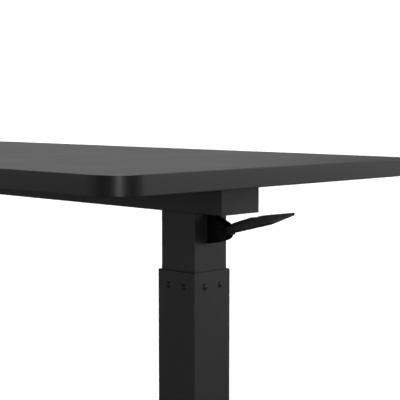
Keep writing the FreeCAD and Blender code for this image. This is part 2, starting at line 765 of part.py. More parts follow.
def makeGearboxes():
    """An angle bracket at each screw: its foot lies on the beam's floor round the screw's
    bush, its wall carries the shaft's bush and the end of the wire's sheath."""
    brackets = []
    bushes = []
    plate = cell["bracketPlate"]
    half = cell["bracketHalfWidth"]
    hubBack = screwX - cell["gearPitchRadius"] - cell["gearHub"]
    wallX = (hubBack - cell["journalLength"], hubBack - cell["journalLength"] + plate)
    footX = (wallX[0], screwX + cell["bracketFootOut"])
    screwBush = cell["screwJournal"] + 2 * cell["bushWall"]
    shaftBush = cell["gearHubDiameter"] + 2 * cell["bushWall"]
    fit = 2 * cell["runningFit"]
    for side in (-1, 1):
        def span(pair):
            return pair if side > 0 else (-pair[1], -pair[0])
        wall = box(span(wallX), (-half, half), (floorZ, beamTop - 2))
        foot = box(span(footX), (-half, half), (floorZ, floorZ + plate))
        wallStart = span(wallX)[0]
        holes = [rod(screwBush, (screwX * side, 0, floorZ - 1), plate + 2),
                 rod(shaftBush, (wallStart - 1, 0, shaftZ), plate + 2, "x"),
                 rod(cell["wireDiameter"] + 1, (wallStart - 1, 0, wireZ), plate + 2, "x")]
        brackets.append(cut(join(wall, foot), *holes))
        low = beamZ - cell["headThickness"]
        tall = floorZ + plate - low
        rimZ = floorZ + plate
        round1 = join(rod(screwBush, (screwX * side, 0, low), tall),
                      rod(screwBush + 2 * cell["bushRim"], (screwX * side, 0, rimZ), cell["bushFlange"]))
        bore1 = rod(cell["screwJournal"] + fit, (screwX * side, 0, low - 1), tall + 5)
        bushes.append(cut(round1, bore1))
        rimX = wallX[1] if side > 0 else -wallX[1] - cell["bushFlange"]
        round2 = join(rod(shaftBush, (wallStart, 0, shaftZ), plate, "x"),
                      rod(shaftBush + 2 * cell["bushRim"], (rimX, 0, shaftZ), cell["bushFlange"], "x"))
        bore2 = rod(cell["gearHubDiameter"] + fit, (wallStart - 5, 0, shaftZ), plate + 10, "x")
        bushes.append(cut(round2, bore2))
    keep(group(*brackets), "gearbox_brackets")
    keep(group(*bushes), "bearing_bushes")
    return wallX


# ---- release gear ----

def makeRocker(x, name, hasLink):
    """Two side plates on a hub, with a nose over the gas spring's pin and an upright arm for
    the wire; the right one also reaches out to the link of the paddle."""
    half = cell["rockerGap"] / 2
    full = half + cell["rockerPlate"]
    hubHalf = cell["rockerHub"] / 2
    reach = (cell["rockerLink"] if hasLink else cell["rockerReach"]) + cell["rockerEye"]
    upright = wireZ - rockerZ
    eye = cell["rockerEye"]
    outline = [(-hubHalf, -eye), (reach, -eye), (reach, eye), (hubHalf, eye),
               (eye, upright + eye), (-eye, upright + eye), (-hubHalf, eye)]
    body = newBody()
    pad(body, sketchOn(body, "XZ_Plane", [outline]), 2 * full, bothWays=True)
    place(body, x, 0, rockerZ)
    slot = [box((x + hubHalf, x + reach + 1), (-half, half), (rockerZ - 5, rockerZ + 5)),
            box((x - 8, x + hubHalf), (-half, half), (rockerZ + hubHalf, wireZ + 5))]
    noseLow = pinTop + cell["noseGap"]
    noseX = x + cell["rockerReach"]
    nose = box((noseX - 3, noseX + 3), (-half, half), (noseLow, rockerZ + 3))
    start = -full - 1
    long = 2 * full + 2
    fit = 2 * cell["runningFit"]
    holes = [rod(cell["rockerPin"] + fit, (x, start, rockerZ), long, "y"),
             rod(cell["nipple"] + 2 * cell["nippleGap"], (x, start, wireZ), long, "y")]
    if hasLink:
        holes.append(rod(cell["linkPin"] + 0.8, (linkX, start, rockerZ), long, "y"))
    keep(cut(join(cut(body, *slot), nose), *holes), f"{name}_rocker")


def makeRockerMounts():
    mounts = []
    pins = []
    ear = cell["rockerGap"] / 2 + cell["rockerPlate"] + cell["earGap"]
    outside = ear + cell["earThickness"]
    for x in (leftRockerX, rightRockerX):
        ends = (x - earHalf, x + earHalf)
        base = box(ends, (-outside, outside), (floorZ, floorZ + cell["earThickness"]))
        ears = [box(ends, pair, (floorZ, rockerZ + cell["rockerPin"]))
                for pair in ((ear, outside), (-outside, -ear))]
        hole = rod(cell["rockerPin"], (x, -outside - 1, rockerZ), 2 * outside + 2, "y")
        mounts.append(cut(join(base, *ears), hole))
        pins.append(rod(cell["rockerPin"], (x, -outside - 1, rockerZ), 2 * outside + 2, "y"))
    keep(group(*mounts), "rocker_brackets")
    keep(group(*pins), "rocker_pins")


def makeWire(wallX):
    """The pull wire runs straight over the shaft, with a cross nipple at each end; its sheath
    ends at the two gearbox brackets and is held down by clips."""
    full = cell["rockerGap"] / 2 + cell["rockerPlate"]
    wire = rod(cell["wireDiameter"], (leftRockerX, 0, wireZ), rightRockerX - leftRockerX, "x")
    nipples = [rod(cell["nipple"], (x, -full, wireZ), 2 * full, "y")
               for x in (leftRockerX, rightRockerX)]
    keep(join(wire, *nipples), "release_wire")
    start = -wallX[0]
    length = 2 * wallX[0]
    sheath = cut(rod(cell["sheathDiameter"], (start, 0, wireZ), length, "x"),
                 rod(cell["sheathBore"], (start - 1, 0, wireZ), length + 2, "x"))
    keep(sheath, "wire_sheath")
    clips = []
    wall = cell["clipWall"]
    half = cell["clipWidth"] / 2
    for step in (-1, 0, 1):
        x = cell["clipPitch"] * step + 20
        lipIn = beamHalfY - cell["lipWidth"] - cell["beamWall"]
        low = wireZ - cell["sheathDiameter"] / 2 - wall
        strap = box((x - half, x + half), (-lipIn, lipIn), (low, low + wall))
        hooks = [box((x - half, x + half), pair, (low, beamTop))
                 for pair in ((-lipIn, -lipIn + wall), (lipIn - wall, lipIn))]
        clips.append(join(strap, *hooks))
    keep(group(*clips), "sheath_clips")


def makeLink():
    """The upright link hangs from the rocker's outer pin and is pulled by the paddle."""
    half = cell["rockerGap"] / 2 + cell["rockerPlate"]
    bar = rod(cell["linkDiameter"], (linkX, 0, hingeZ), rockerZ - hingeZ)
    pins = [rod(cell["linkPin"], (linkX, -half, z), 2 * half, "y") for z in (hingeZ, rockerZ)]
    ends = [rod(cell["linkDiameter"] + 1.5, (linkX, -half + 2.3, z), 2 * half - 4.6, "y")
            for z in (hingeZ, rockerZ)]
    keep(join(bar, *pins, *ends), "release_link")


def makeLeverBracket():
    """A small folded bracket on the column's outer face, open outwards between its cheeks."""
    face = columnX + innerHalf
    side = [(0, 0), (10.5, 0), (10.5, -6), (30.5, -14), (34.5, -18), (36.5, -27),
            (34.5, -33.5), (29.5, -37), (6.5, -43.7), (0, -41)]
    body = newBody()
    pad(body, sketchOn(body, "XZ_Plane", [side]), cell["bracketWidth"], bothWays=True)
    place(body, face, 0, beamZ)
    half = cell["bracketWidth"] / 2
    thick = cell["cheekThickness"]
    gap = box((face + thick, face + 60), (thick - half, half - thick), (beamZ - 60, beamZ + 1))
    holes = [rod(cell["hingePin"], (hingeX, -half - 1, hingeZ), 2 * half + 2, "y")]
    for z in bracketScrewHeights():
        holes.append(rod(cell["armBolt"] - 1, (face - 1, 0, z), thick + 2, "x"))
    keep(cut(body, gap, *holes), "lever_bracket")
    pin = join(rod(cell["hingePin"], (hingeX, -half - 0.4, hingeZ), 2 * half + 0.8, "y"),
               rod(cell["hingePin"] + 2, (hingeX, -half - 1.4, hingeZ), 1.4, "y"))
    keep(pin, "paddle_pivot_pin")
    screws = []
    shank = cell["armBolt"] - 1
    for z in bracketScrewHeights():
        start = face - cell["tubeWall"] - 4
        screws.append(join(rod(shank, (start, 0, z), cell["tubeWall"] + thick + 4, "x"),
                           rod(shank + 3, (face + thick, 0, z), 1.6, "x")))
    keep(group(*screws), "bracket_screws")


def bladeSection(x, near, far):
    """Cross section of the paddle at a distance from the hinge: its near and far top corners
    as (y, height from the hinge), with the blade's thickness below them."""
    thick = number(cell["bladeThickness"])
    points = [Vector(x, near[0], near[1]), Vector(x, far[0], far[1]),
              Vector(x, far[0], far[1] - thick), Vector(x, near[0], near[1] - thick)]
    return Part.makePolygon(points + points[:1])


def makePaddle():
    """A pressed paddle: two tines on the hinge pin, a neck, and a tilted blade that widens to
    one side sooner than to the other. Heights are from the hinge's axis."""
    half = number(cell["bladeHalf"])
    neck = number(cell["neckHalf"]) - 0.6
    tipX = number(cell["bladeTip"]) - number(cell["hingeOut"])
    sections = [bladeSection(9.0, (-neck, 0.5), (neck, 3.9)),
                bladeSection(16.0, (-neck, 0.6), (half / 2, 9.3)),
                bladeSection(27.0, (-half * 0.56, 2.6), (half, 16.9)),
                bladeSection(34.0, (-half * 0.77, 3.8), (half, 18.8)),
                bladeSection(41.9, (-half, 5.2), (half, 21.4)),
                bladeSection(tipX - 6, (-half, 19.2), (half, 29.2)),
                bladeSection(tipX, (-half * 0.8, 21.9), (half * 0.8, 29.0))]
    solids = [Part.makeLoft([a, b], True, True) for a, b in zip(sections[:-1], sections[1:])]
    blade = solids[0].multiFuse(solids[1:])
    shape = doc.addObject("Part::Feature", "Blade")
    shape.Shape = blade
    place(shape, hingeX, 0, hingeZ)
    inner = cell["rockerGap"] / 2
    outer = inner + cell["rockerPlate"]
    back = linkX - 4
    tines = []
    for pair in ((inner, outer), (-outer, -inner)):
        tines.append(box((back, hingeX + 12), pair, (hingeZ - 4, hingeZ + 4)))
    web = box((hingeX + 7, hingeX + 12), (-outer, outer), (hingeZ - 4, hingeZ + 4))
    start = -outer - 4
    long = 2 * outer + 8
    fit = 2 * cell["runningFit"]
    holes = [rod(cell["hingePin"] + fit, (hingeX, start, hingeZ), long, "y"),
             rod(cell["linkPin"] + 0.9, (linkX, start, hingeZ), long, "y")]
    keep(cut(join(shape, web, *tines), *holes), "release_paddle")


# ---- feet ----

def makeFoot(side, name):
    x = columnX * side
    halfLength = cell["footLength"] / 2 - cell["footCap"]
    halfWidth = cell["footWidth"] / 2
    wall = cell["footWall"]
    body = newBody()
    tall = cell["footHeight"]
    outline = [(-halfWidth, 0), (halfWidth, 0), (halfWidth, tall), (-halfWidth, tall)]
    pad(body, sketchOn(body, "XZ_Plane", [outline]), 2 * halfLength, bothWays=True)
    roundEdges(body, cell["footRound"], across)
    inside = halfWidth - wall
    hollow = [(-inside, wall), (inside, wall), (inside, tall - wall), (-inside, tall - wall)]
    pocketThrough(body, sketchOn(body, "XZ_Plane", [hollow]))
    place(body, x, 0, cell["footClear"])
    holes = []
    for way in (-1, 1):
        y = (cell["footLength"] / 2 - cell["levelInset"]) * way
        holes.append(rod(cell["levelStud"] + 1, (x, y, cell["footClear"] - 1), wall + 2))
    for boltX, boltY in baseBolts(side):
        hole = cell["boltShank"] + cell["boltHoleFit"]
        holes.append(rod(hole, (boltX, boltY, footTop - wall - 1), wall + 2))
    keep(cut(body, *holes), f"{name}_foot_beam")


def baseBolts(side):
    return [(columnX * side + cell["boltX"] * x, cell["boltY"] * y)
            for x in (-1, 1) for y in (-1, 1)]


def makeBasePlate(side, name):
    """The plate under a column, bolted to the foot beam at its four corners."""
    body = newBody()
    face = rectangle(cell["footWidth"] / 2 - 1, outerHalf + cell["plateMargin"])
    pad(body, sketchOn(body, "XY_Plane", [face]), cell["plateThickness"])
    roundEdges(body, 4, upright)
    holes = [(cell["boltX"] * x, cell["boltY"] * y, cell["boltShank"] + cell["boltHoleFit"])
             for x in (-1, 1) for y in (-1, 1)]
    holes.append(((gasX - columnX) * side, 0, cell["gasStud"]))
    pocketThrough(body, sketchOn(body, "XY_Plane", circles=holes))
    keep(place(body, columnX * side, 0, footTop), f"{name}_base_plate")


def makeFootHardware():
    caps = []
    bolts = []
    nuts = []
    wall = cell["footWall"] + cell["plugGap"]
    halfWidth = cell["footWidth"] / 2
    low = cell["footClear"]
    for side in (-1, 1):
        x = columnX * side
        for way in (-1, 1):
            end = cell["footLength"] / 2
            body = newBody()
            outline = [(-halfWidth, 0), (halfWidth, 0), (halfWidth, cell["footHeight"]),
                       (-halfWidth, cell["footHeight"])]
            pad(body, sketchOn(body, "XZ_Plane", [outline]), cell["footCap"], bothWays=True)
            roundEdges(body, cell["footRound"], across)
            place(body, x, (end - cell["footCap"] / 2) * way, low)
            far = (end - cell["footCap"]) * way
            near = (end - cell["footCap"] - 10) * way
            ends = (near, far) if way > 0 else (far, near)
            plug = box((x - halfWidth + wall, x + halfWidth - wall), ends,
                       (low + wall, footTop - wall))
            caps.append(join(body, plug))
            y = (end - cell["levelInset"]) * way
            nut = rod(cell["levelNut"], (x, y, low + cell["footWall"]), cell["levelNutHeight"])
            bore = rod(cell["levelStud"] + 2 * cell["runningFit"], (x, y, low),
                       cell["levelNutHeight"] + 5)
            nuts.append(cut(nut, bore))
        for boltX, boltY in baseBolts(side):
            bolts.append(join(hexBar(cell["boltHead"], (boltX, boltY, plateTop), cell["boltHeadHeight"]),
                              rod(cell["boltShank"], (boltX, boltY, plateTop - cell["boltDepth"]),
                                  cell["boltDepth"])))
    keep(group(*caps), "foot_end_caps")
    keep(group(*bolts), "base_bolts")
    keep(group(*nuts), "leveller_nuts")


def makeLeveller(side, way, label):
    """A round pad with a hexagon collar, moulded on a threaded stud."""
    x = columnX * side
    y = (cell["footLength"] / 2 - cell["levelInset"]) * way
    thick = cell["levelPadHeight"]
    body = newBody()
    pad(body, sketchOn(body, "XY_Plane", circles=[(0, 0, cell["levelPad"])]), thick)
    disc = body.Tip
    rim = [f"Edge{i}" for i, edge in enumerate(disc.Shape.Edges, start=1)
           if len(edge.Vertexes) == 1 and edge.Vertexes[0].Point.z > 1]
    chamfer = body.newObject("PartDesign::Chamfer", "Chamfer")
    chamfer.Base = (disc, rim)
    chamfer.Size = 1.5
    doc.recompute()
    place(body, x, y, 0)
    collar = hexBar(cell["levelHex"], (x, y, thick), cell["footClear"] - thick - 0.3)
    stud = rod(cell["levelStud"], (x, y, thick), cell["levelStudLength"])
    keep(join(body, collar, stud), label)


def makeAll():
    makeTop()
    makeTopScrews()
    makeBeam()
    makeBeamCaps()
    for name, side in sides.items():
        makeArm(side, -1, f"{name}_front_arm")
        makeArm(side, 1, f"{name}_rear_arm")
        makeOuterTube(side, f"{name}_outer_tube")
        makeInnerTube(side, f"{name}_inner_tube")
        makeGasSpring(side, name)
        makeScrew(side, name)
        makeFoot(side, name)
        makeBasePlate(side, name)
        makeLeveller(side, -1, f"{name}_front_leveller")
        makeLeveller(side, 1, f"{name}_rear_leveller")
    makeArmBolts()
    makeGlides()
    makeHeads()
    makeNuts()
    makeShaft()
    wallX = makeGearboxes()
    makeRocker(rightRockerX, "right", True)
    makeRocker(leftRockerX, "left", False)
    makeRockerMounts()
    makeWire(wallX)
    makeLink()
    makeLeverBracket()
    makePaddle()
    makeFootHardware()


def writeParts():
    doc.recompute()
    for item in doc.Objects:
        if "Invalid" in item.State or "Error" in item.State:
            raise RuntimeError(f"{item.Label} failed: {item.State}")
    os.makedirs("parts", exist_ok=True)
    for piece in parts:
        if piece.Shape.isNull() or not piece.Shape.isValid():
            raise RuntimeError(f"{piece.Label} has no valid shape")
        piece.Shape.exportStep(os.path.join("parts", f"{piece.Label}.step"))
        print(piece.Label, len(piece.Shape.Solids), round(piece.Shape.Volume))
    print(len(parts), "sub-parts")


makeAll()
writeParts()
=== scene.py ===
import json
import math

import bmesh
import bpy
import numpy as np
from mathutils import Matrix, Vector


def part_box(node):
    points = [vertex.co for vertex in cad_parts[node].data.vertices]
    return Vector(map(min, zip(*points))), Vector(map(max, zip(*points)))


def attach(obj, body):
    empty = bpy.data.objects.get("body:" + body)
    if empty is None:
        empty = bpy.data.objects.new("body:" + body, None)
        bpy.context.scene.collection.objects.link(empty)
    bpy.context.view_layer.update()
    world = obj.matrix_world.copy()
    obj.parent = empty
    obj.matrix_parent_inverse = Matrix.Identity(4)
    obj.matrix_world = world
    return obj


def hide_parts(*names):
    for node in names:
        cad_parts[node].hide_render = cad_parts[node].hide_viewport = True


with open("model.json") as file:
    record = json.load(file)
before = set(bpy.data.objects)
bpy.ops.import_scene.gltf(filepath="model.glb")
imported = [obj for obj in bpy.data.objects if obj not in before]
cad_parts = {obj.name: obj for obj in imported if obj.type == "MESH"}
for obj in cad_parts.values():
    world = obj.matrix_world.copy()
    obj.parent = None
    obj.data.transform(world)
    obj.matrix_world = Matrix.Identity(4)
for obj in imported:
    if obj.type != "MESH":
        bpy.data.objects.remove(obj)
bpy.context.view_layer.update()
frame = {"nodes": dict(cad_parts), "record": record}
mm = 0.001


# a rounded rectangle: four quarter circles of one radius, joined by straight sides
def roundedRect(halfWide, halfTall, radius, steps=8):
    angle = (np.arange(4) * np.pi / 2)[:, None] + np.linspace(0, np.pi / 2, steps + 1)[None, :]
    signX = np.array([1, -1, -1, 1])[:, None]
    signY = np.array([1, 1, -1, -1])[:, None]
    x = signX * (halfWide - radius) + radius * np.cos(angle)
    y = signY * (halfTall - radius) + radius * np.sin(angle)
    return np.stack([x.ravel(), y.ravel()], 1)


# every corner of a polygon becomes an arc that is tangent to its two sides: its centre lies on
# the bisector at radius / sin(half the corner's angle)
def roundCorners(points, radii, steps=5):
    points = np.asarray(points, float)
    radii = np.broadcast_to(np.asarray(radii, float), len(points))[:, None]
    back = np.roll(points, 1, 0) - points
    ahead = np.roll(points, -1, 0) - points
    back /= np.linalg.norm(back, axis=1, keepdims=True)
    ahead /= np.linalg.norm(ahead, axis=1, keepdims=True)
    half = np.arccos(np.clip(np.sum(back * ahead, 1, keepdims=True), -1, 1)) / 2
    middle = (back + ahead) / np.linalg.norm(back + ahead, axis=1, keepdims=True)
    centre = points + middle * radii / np.sin(half)
    first = points + back * radii / np.tan(half) - centre
    last = points + ahead * radii / np.tan(half) - centre
    swing = (np.pi - 2 * half)[:, None]
    share = np.linspace(0, 1, steps + 1)[None, :, None]
    arc = np.sin((1 - share) * swing) * first[:, None] + np.sin(share * swing) * last[:, None]
    return (centre[:, None] + arc / np.sin(swing)).reshape(-1, 2)


# moves each point of a convex outline inwards by a depth, along the bisector of its sides
def insetOutline(outline, depth):
    ahead = np.roll(outline, -1, 0) - outline
    ahead /= np.maximum(np.linalg.norm(ahead, axis=1, keepdims=True), 1e-9)
    both = ahead + np.roll(ahead, 1, 0)
    length = np.maximum(np.linalg.norm(both, axis=1, keepdims=True), 1e-9)
    inward = np.stack([-both[:, 1], both[:, 0]], 1) / length
    x, y = outline.T
    winding = np.sign(np.sum(x * np.roll(y, -1) - y * np.roll(x, -1)))
    return outline + inward * depth * winding / np.maximum(length / 2, 0.5)


# rings of equally many points are joined by quads; the ends are closed, or meet each other
def skinRings(rings, loop=False):
    rings = np.asarray(rings, float)
    count, around = rings.shape[:2]
    index = np.arange(count * around).reshape(count, around)
    if loop:
        index = np.vstack([index, index[:1]])
    low, high = index[:-1], index[1:]
    quads = np.stack([low, np.roll(low, -1, 1), np.roll(high, -1, 1), high], -1).reshape(-1, 4)
    blocks = [quads] if loop else [quads, index[:1, ::-1], index[-1:]]
    return rings.reshape(-1, 3), blocks


# several shapes as one: the face numbers of each start where the last one's points end
def gather(shapes):
    starts = np.cumsum([0] + [len(points) for points, blocks in shapes])
    blocks = [block + start for start, (points, some) in zip(starts, shapes) for block in some]
    return np.concatenate([points for points, some in shapes]), blocks


# puts a flat outline into space: order names the axes of its width, its height and its depth
def intoSpace(flat, depth, order):
    full = np.zeros(flat.shape[:-1] + (3,))
    full[..., order[0]] = flat[..., 0]
    full[..., order[1]] = flat[..., 1]
    full[..., order[2]] = depth
    return full


# an outline carried between two depths with both rims rolled over by a quarter circle: at
# angle a the ring is inset by roll * (1 - sin a) and stands roll * (1 - cos a) from the end
def rolledBlock(outline, low, high, roll, order=(0, 1, 2), steps=3):
    angle = np.linspace(0, np.pi / 2, steps + 1)
    inset = roll * (1 - np.sin(angle))
    rise = roll * (1 - np.cos(angle))
    rings = [intoSpace(insetOutline(outline, i), low + r, order) for i, r in zip(inset, rise)]
    rings += [intoSpace(insetOutline(outline, i), high - r, order)
              for i, r in zip(inset[::-1], rise[::-1])]
    return skinRings(rings)


# the wall of a hollow ring-shaped piece as (inset, height) pairs: a rectangle as thick as the
# wall, with a quarter circle of the rim's radius at each of its four corners
def wallSection(wall, low, high, outerRim, innerRim):
    box = [(0, low), (0, high), (wall, high), (wall, low)]
    return roundCorners(box, [outerRim, outerRim, innerRim, innerRim], steps=4)


sharpestCorner = 0.3 * mm


# a rounded rectangular ring: the wall's section gives each ring its inset and its height
def hollowRing(centre, halfWide, halfTall, corner, section, order=(0, 1, 2), steps=8):
    rings = []
    for inset, height in section:
        radius = max(corner - inset, sharpestCorner)
        outline = roundedRect(halfWide - inset, halfTall - inset, radius, steps)
        rings.append(intoSpace(outline + centre, height, order))
    return skinRings(rings, loop=True)


# a profile of (radius, height) pairs turned about an axis; the radius may swell and shrink
# by a share of itself, lobes times round, as a grip does
def turnProfile(profile, centre, order=(0, 1, 2), sign=1, around=32, lobes=0, swell=0.0):
    angle = np.linspace(0, 2 * np.pi, around, endpoint=False)
    circle = np.stack([np.cos(angle), np.sin(angle)], 1) * (1 + swell * np.cos(lobes * angle))[:, None]
    rings = [intoSpace(circle * max(radius, 1e-6), sign * height, order) for radius, height in profile]
    return skinRings(np.array(rings) + np.asarray(centre, float))


hexLook = {"turned": 0.97, "flatTop": 0.9, "slope": 30}


# a hexagon bar with its top turned down: a flat's radius is apothem / cos(angle from the
# flat's middle), and outside the turned circle the top falls by the tangent of the slope
def hexHead(centre, acrossFlats, low, high, order=(0, 1, 2), sign=1, around=48):
    angle = np.linspace(0, 2 * np.pi, around, endpoint=False)
    apothem = acrossFlats / 2
    reach = apothem / np.cos((angle + np.pi / 6) % (np.pi / 3) - np.pi / 6)
    circle = np.stack([np.cos(angle), np.sin(angle)], 1)
    turned = apothem * hexLook["turned"]
    fall = (reach - turned) * math.tan(math.radians(hexLook["slope"]))
    rings = [intoSpace(circle * reach[:, None], sign * np.full(around, low), order),
             intoSpace(circle * reach[:, None], sign * (high - fall), order),
             intoSpace(circle * turned, sign * high, order),
             intoSpace(circle * apothem * hexLook["flatTop"], sign * high, order)]
    return skinRings(np.array(rings) + np.asarray(centre, float))


# a button head: a ball's cap whose middle is pierced by a hexagon socket. The rings run from
# a circle at the rim to the hexagon at the socket, at the ball's height for their radius
def buttonHead(centre, look, order, sign, around=36):
    angle = np.linspace(0, 2 * np.pi, around, endpoint=False)
    circle = np.stack([np.cos(angle), np.sin(angle)], 1)
    head, dome = look["head"] / 2, look["dome"]
    hexagon = look["socket"] / 2 / np.cos((angle + np.pi / 6) % (np.pi / 3) - np.pi / 6)
    ball = (head ** 2 + dome ** 2) / (2 * dome)
    radii = np.array([hexagon + (head - hexagon) * share for share in np.linspace(1, 0, 7)])
    heights = np.sqrt(ball ** 2 - radii ** 2) - ball + dome
    floorRing = np.full((1, around), dome - look["socketDepth"])
    radii = np.vstack([radii[:1], radii, radii[-1:] * look["socketDraft"]])
    heights = np.vstack([np.full((1, around), -look["sunk"]), heights, floorRing])
    flat = circle[None] * radii[:, :, None]
    return skinRings(intoSpace(flat, heights * sign, order) + np.asarray(centre, float))


def addPiece(name, shape, body, nodes, finish, sharpAngle=32):
    points, blocks = shape
    mesh = bpy.data.meshes.new(name)
    mesh.from_pydata(points.tolist(), [], [face for block in blocks for face in block.tolist()])
    work = bmesh.new()
    work.from_mesh(mesh)
    bmesh.ops.remove_doubles(work, verts=work.verts, dist=1e-6)
    bmesh.ops.recalc_face_normals(work, faces=work.faces)
    work.to_mesh(mesh)
    work.free()
    mesh.shade_smooth()
    mesh.set_sharp_from_angle(angle=math.radians(sharpAngle))
    mesh.materials.append(materials[finish])
    piece = bpy.data.objects.new(name, mesh)
    bpy.context.scene.collection.objects.link(piece)
    evenFlats = piece.modifiers.new("evenFlats", "WEIGHTED_NORMAL")
    evenFlats.keep_sharp = True
    evenFlats.weight = 80
    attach(piece, body)
    if nodes:
        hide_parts(*nodes)
    return piece


def addNode(tree, kind, values=None, **settings):
    made = tree.nodes.new(kind)
    for key, value in settings.items():
        setattr(made, key, value)
    for key, value in (values or {}).items():
        if isinstance(value, bpy.types.NodeSocket):
            tree.links.new(value, made.inputs[key])
        else:
            made.inputs[key].default_value = value
    return made


def maths(tree, operation, a, b=0.0):
    return addNode(tree, "ShaderNodeMath", {0: a, 1: b}, operation=operation).outputs[0]


def remap(tree, value, low, high, toLow=0.0, toHigh=1.0):
    return addNode(tree, "ShaderNodeMapRange", {"Value": value, "From Min": low, "From Max": high,
                                                "To Min": toLow, "To Max": toHigh}).outputs[0]


def newGroup(name, inputs, outputs):
    group = bpy.data.node_groups.new(name, "ShaderNodeTree")
    for label, kind, value in inputs:
        socket = group.interface.new_socket(name=label, in_out="INPUT", socket_type=kind)
        if value is not None:
            socket.default_value = value
    for label in outputs:
        group.interface.new_socket(name=label, in_out="OUTPUT", socket_type="NodeSocketFloat")
    return group, addNode(group, "NodeGroupInput").outputs, addNode(group, "NodeGroupOutput").inputs


# sprayed or pressed grain: a coarse swell and a fine grit added; the speckle is the brightest
# cells of a fine cell pattern, and the cloud a large soft change of tone
def makeCoatGrain():
    group, given, result = newGroup("coatGrain", [
        ("Vector", "NodeSocketVector", None), ("Swell Scale", "NodeSocketFloat", 400.0),
        ("Grit Scale", "NodeSocketFloat", 1800.0), ("Grit Share", "NodeSocketFloat", 0.5)],
        ["Height", "Speckle", "Cloud"])
    place = given["Vector"]
    swell = addNode(group, "ShaderNodeTexNoise", {"Vector": place, "Scale": given["Swell Scale"],
                                                  "Detail": 2.0, "Roughness": 0.5})
    grit = addNode(group, "ShaderNodeTexNoise", {"Vector": place, "Scale": given["Grit Scale"],
                                                 "Detail": 1.0, "Roughness": 0.6})
    gritPart = maths(group, "MULTIPLY", grit.outputs["Fac"], given["Grit Share"])
    cells = addNode(group, "ShaderNodeTexVoronoi", {"Vector": place, "Scale": given["Grit Scale"]})
    tint = addNode(group, "ShaderNodeSeparateColor", {"Color": cells.outputs["Color"]})
    cloud = addNode(group, "ShaderNodeTexNoise", {"Vector": place, "Scale": 6.0, "Detail": 4.0,
                                                  "Roughness": 0.6})
    links = group.links
    links.new(maths(group, "ADD", swell.outputs["Fac"], gritPart), result["Height"])
    links.new(remap(group, tint.outputs[0], 0.72, 1.0), result["Speckle"])
    links.new(remap(group, cloud.outputs["Fac"], 0.3, 0.7), result["Cloud"])
    return group


# dust settles on faces that look up, in broken patches
def makeSettledDust():
    group, given, result = newGroup("settledDust", [
        ("Vector", "NodeSocketVector", None), ("Amount", "NodeSocketFloat", 0.3)], ["Mask"])
    normal = addNode(group, "ShaderNodeNewGeometry").outputs["Normal"]
    up = addNode(group, "ShaderNodeSeparateXYZ", {"Vector": normal}).outputs["Z"]
    patches = addNode(group, "ShaderNodeTexNoise", {"Vector": given["Vector"], "Scale": 22.0,
                                                    "Detail": 6.0, "Roughness": 0.7})
    broken = remap(group, patches.outputs["Fac"], 0.35, 0.8)
    mask = maths(group, "MULTIPLY", remap(group, up, 0.4, 1.0), broken)
    group.links.new(maths(group, "MULTIPLY", mask, given["Amount"]), result["Mask"])
    return group


# drawn or turned lines: noise pulled out along the ways where the stretch is small
def makeDrawnLines():
    group, given, result = newGroup("drawnLines", [
        ("Vector", "NodeSocketVector", None), ("Stretch", "NodeSocketVector", (1.0, 1.0, 1.0)),
        ("Scale", "NodeSocketFloat", 900.0)], ["Height"])
    pulled = addNode(group, "ShaderNodeVectorMath", {0: given["Vector"], 1: given["Stretch"]},
                     operation="MULTIPLY")
    lines = addNode(group, "ShaderNodeTexNoise", {"Vector": pulled.outputs[0], "Scale": given["Scale"],
                                                  "Detail": 3.0, "Roughness": 0.65})
    group.links.new(lines.outputs["Fac"], result["Height"])
    return group


coatGrain, settledDust, drawnLines = makeCoatGrain(), makeSettledDust(), makeDrawnLines()


def newMaterial(name):
    material = bpy.data.materials.new(name)
    material.use_nodes = True
    tree = material.node_tree
    tree.nodes.clear()
    shader = addNode(tree, "ShaderNodeBsdfPrincipled")
    end = addNode(tree, "ShaderNodeOutputMaterial")
    tree.links.new(shader.outputs[0], end.inputs[0])
    return material, tree, shader, addNode(tree, "ShaderNodeTexCoord").outputs["Object"]


# grey is the coat's own tone, specular its share of clear gloss, peel the depth of its grain.
# A look with a side grey has its own tone there, on the sides that do not look up, and its grey is painted
# light on the faces that look up
coatLooks = {
    "powderCoat": {"grey": 0.0245, "rough": 0.45, "spread": 0.08, "specular": 0.5, "peel": 0.02,
                   "swell": 420, "grit": 1700, "gritShare": 0.7, "speckle": 0.25, "dust": 0.04},
    # a black coat whose tone, far below the frame's black, is partly painted shade: the bracket and the
    # parts by it are black, and the rest of their darkness stands in for the shade under the beam and the
    # tabletop
    "shadeDarkenedBlackCoat": {"grey": 0.0030, "rough": 0.50, "spread": 0.06, "specular": 0.15, "peel": 0.02,
                      "swell": 500, "grit": 2200, "gritShare": 0.6, "speckle": 0.15, "dust": 0.0},
    # the paddle is black plastic of its side grey's tone; the light grey of its faces that look up is
    # painted light
    "paddlePaintedLightCoat": {"grey": 0.2400, "sideGreyBelowPaintedTop": 0.03, "rough": 0.55, "spread": 0.08, "specular": 0.12,
                   "peel": 0.015, "swell": 520, "grit": 2400, "gritShare": 0.6, "speckle": 0.2,
                   "dust": 0.03},
    "melamineFace": {"grey": 0.0180, "rough": 0.42, "spread": 0.05, "specular": 0.5, "peel": 0.02,
                     "swell": 900, "grit": 3600, "gritShare": 1.0, "speckle": 0.35, "dust": 0.03},
    "edgeFilm": {"grey": 0.0120, "rough": 0.36, "spread": 0.04, "specular": 0.5, "peel": 0.02,
                 "swell": 300, "grit": 2600, "gritShare": 0.4, "speckle": 0.1, "dust": 0.0,
                 "drawn": (0.03, 0.03, 1.0)},
    "cylinderEnamel": {"grey": 0.0200, "rough": 0.25, "spread": 0.05, "specular": 0.5, "peel": 0.01,
                       "swell": 300, "grit": 2500, "gritShare": 0.2, "speckle": 0.1, "dust": 0.04},
    "mouldedPlastic": {"grey": 0.0220, "rough": 0.52, "spread": 0.06, "specular": 0.5, "peel": 0.03,
                       "swell": 700, "grit": 2600, "gritShare": 1.0, "speckle": 0.15, "dust": 0.05},
}
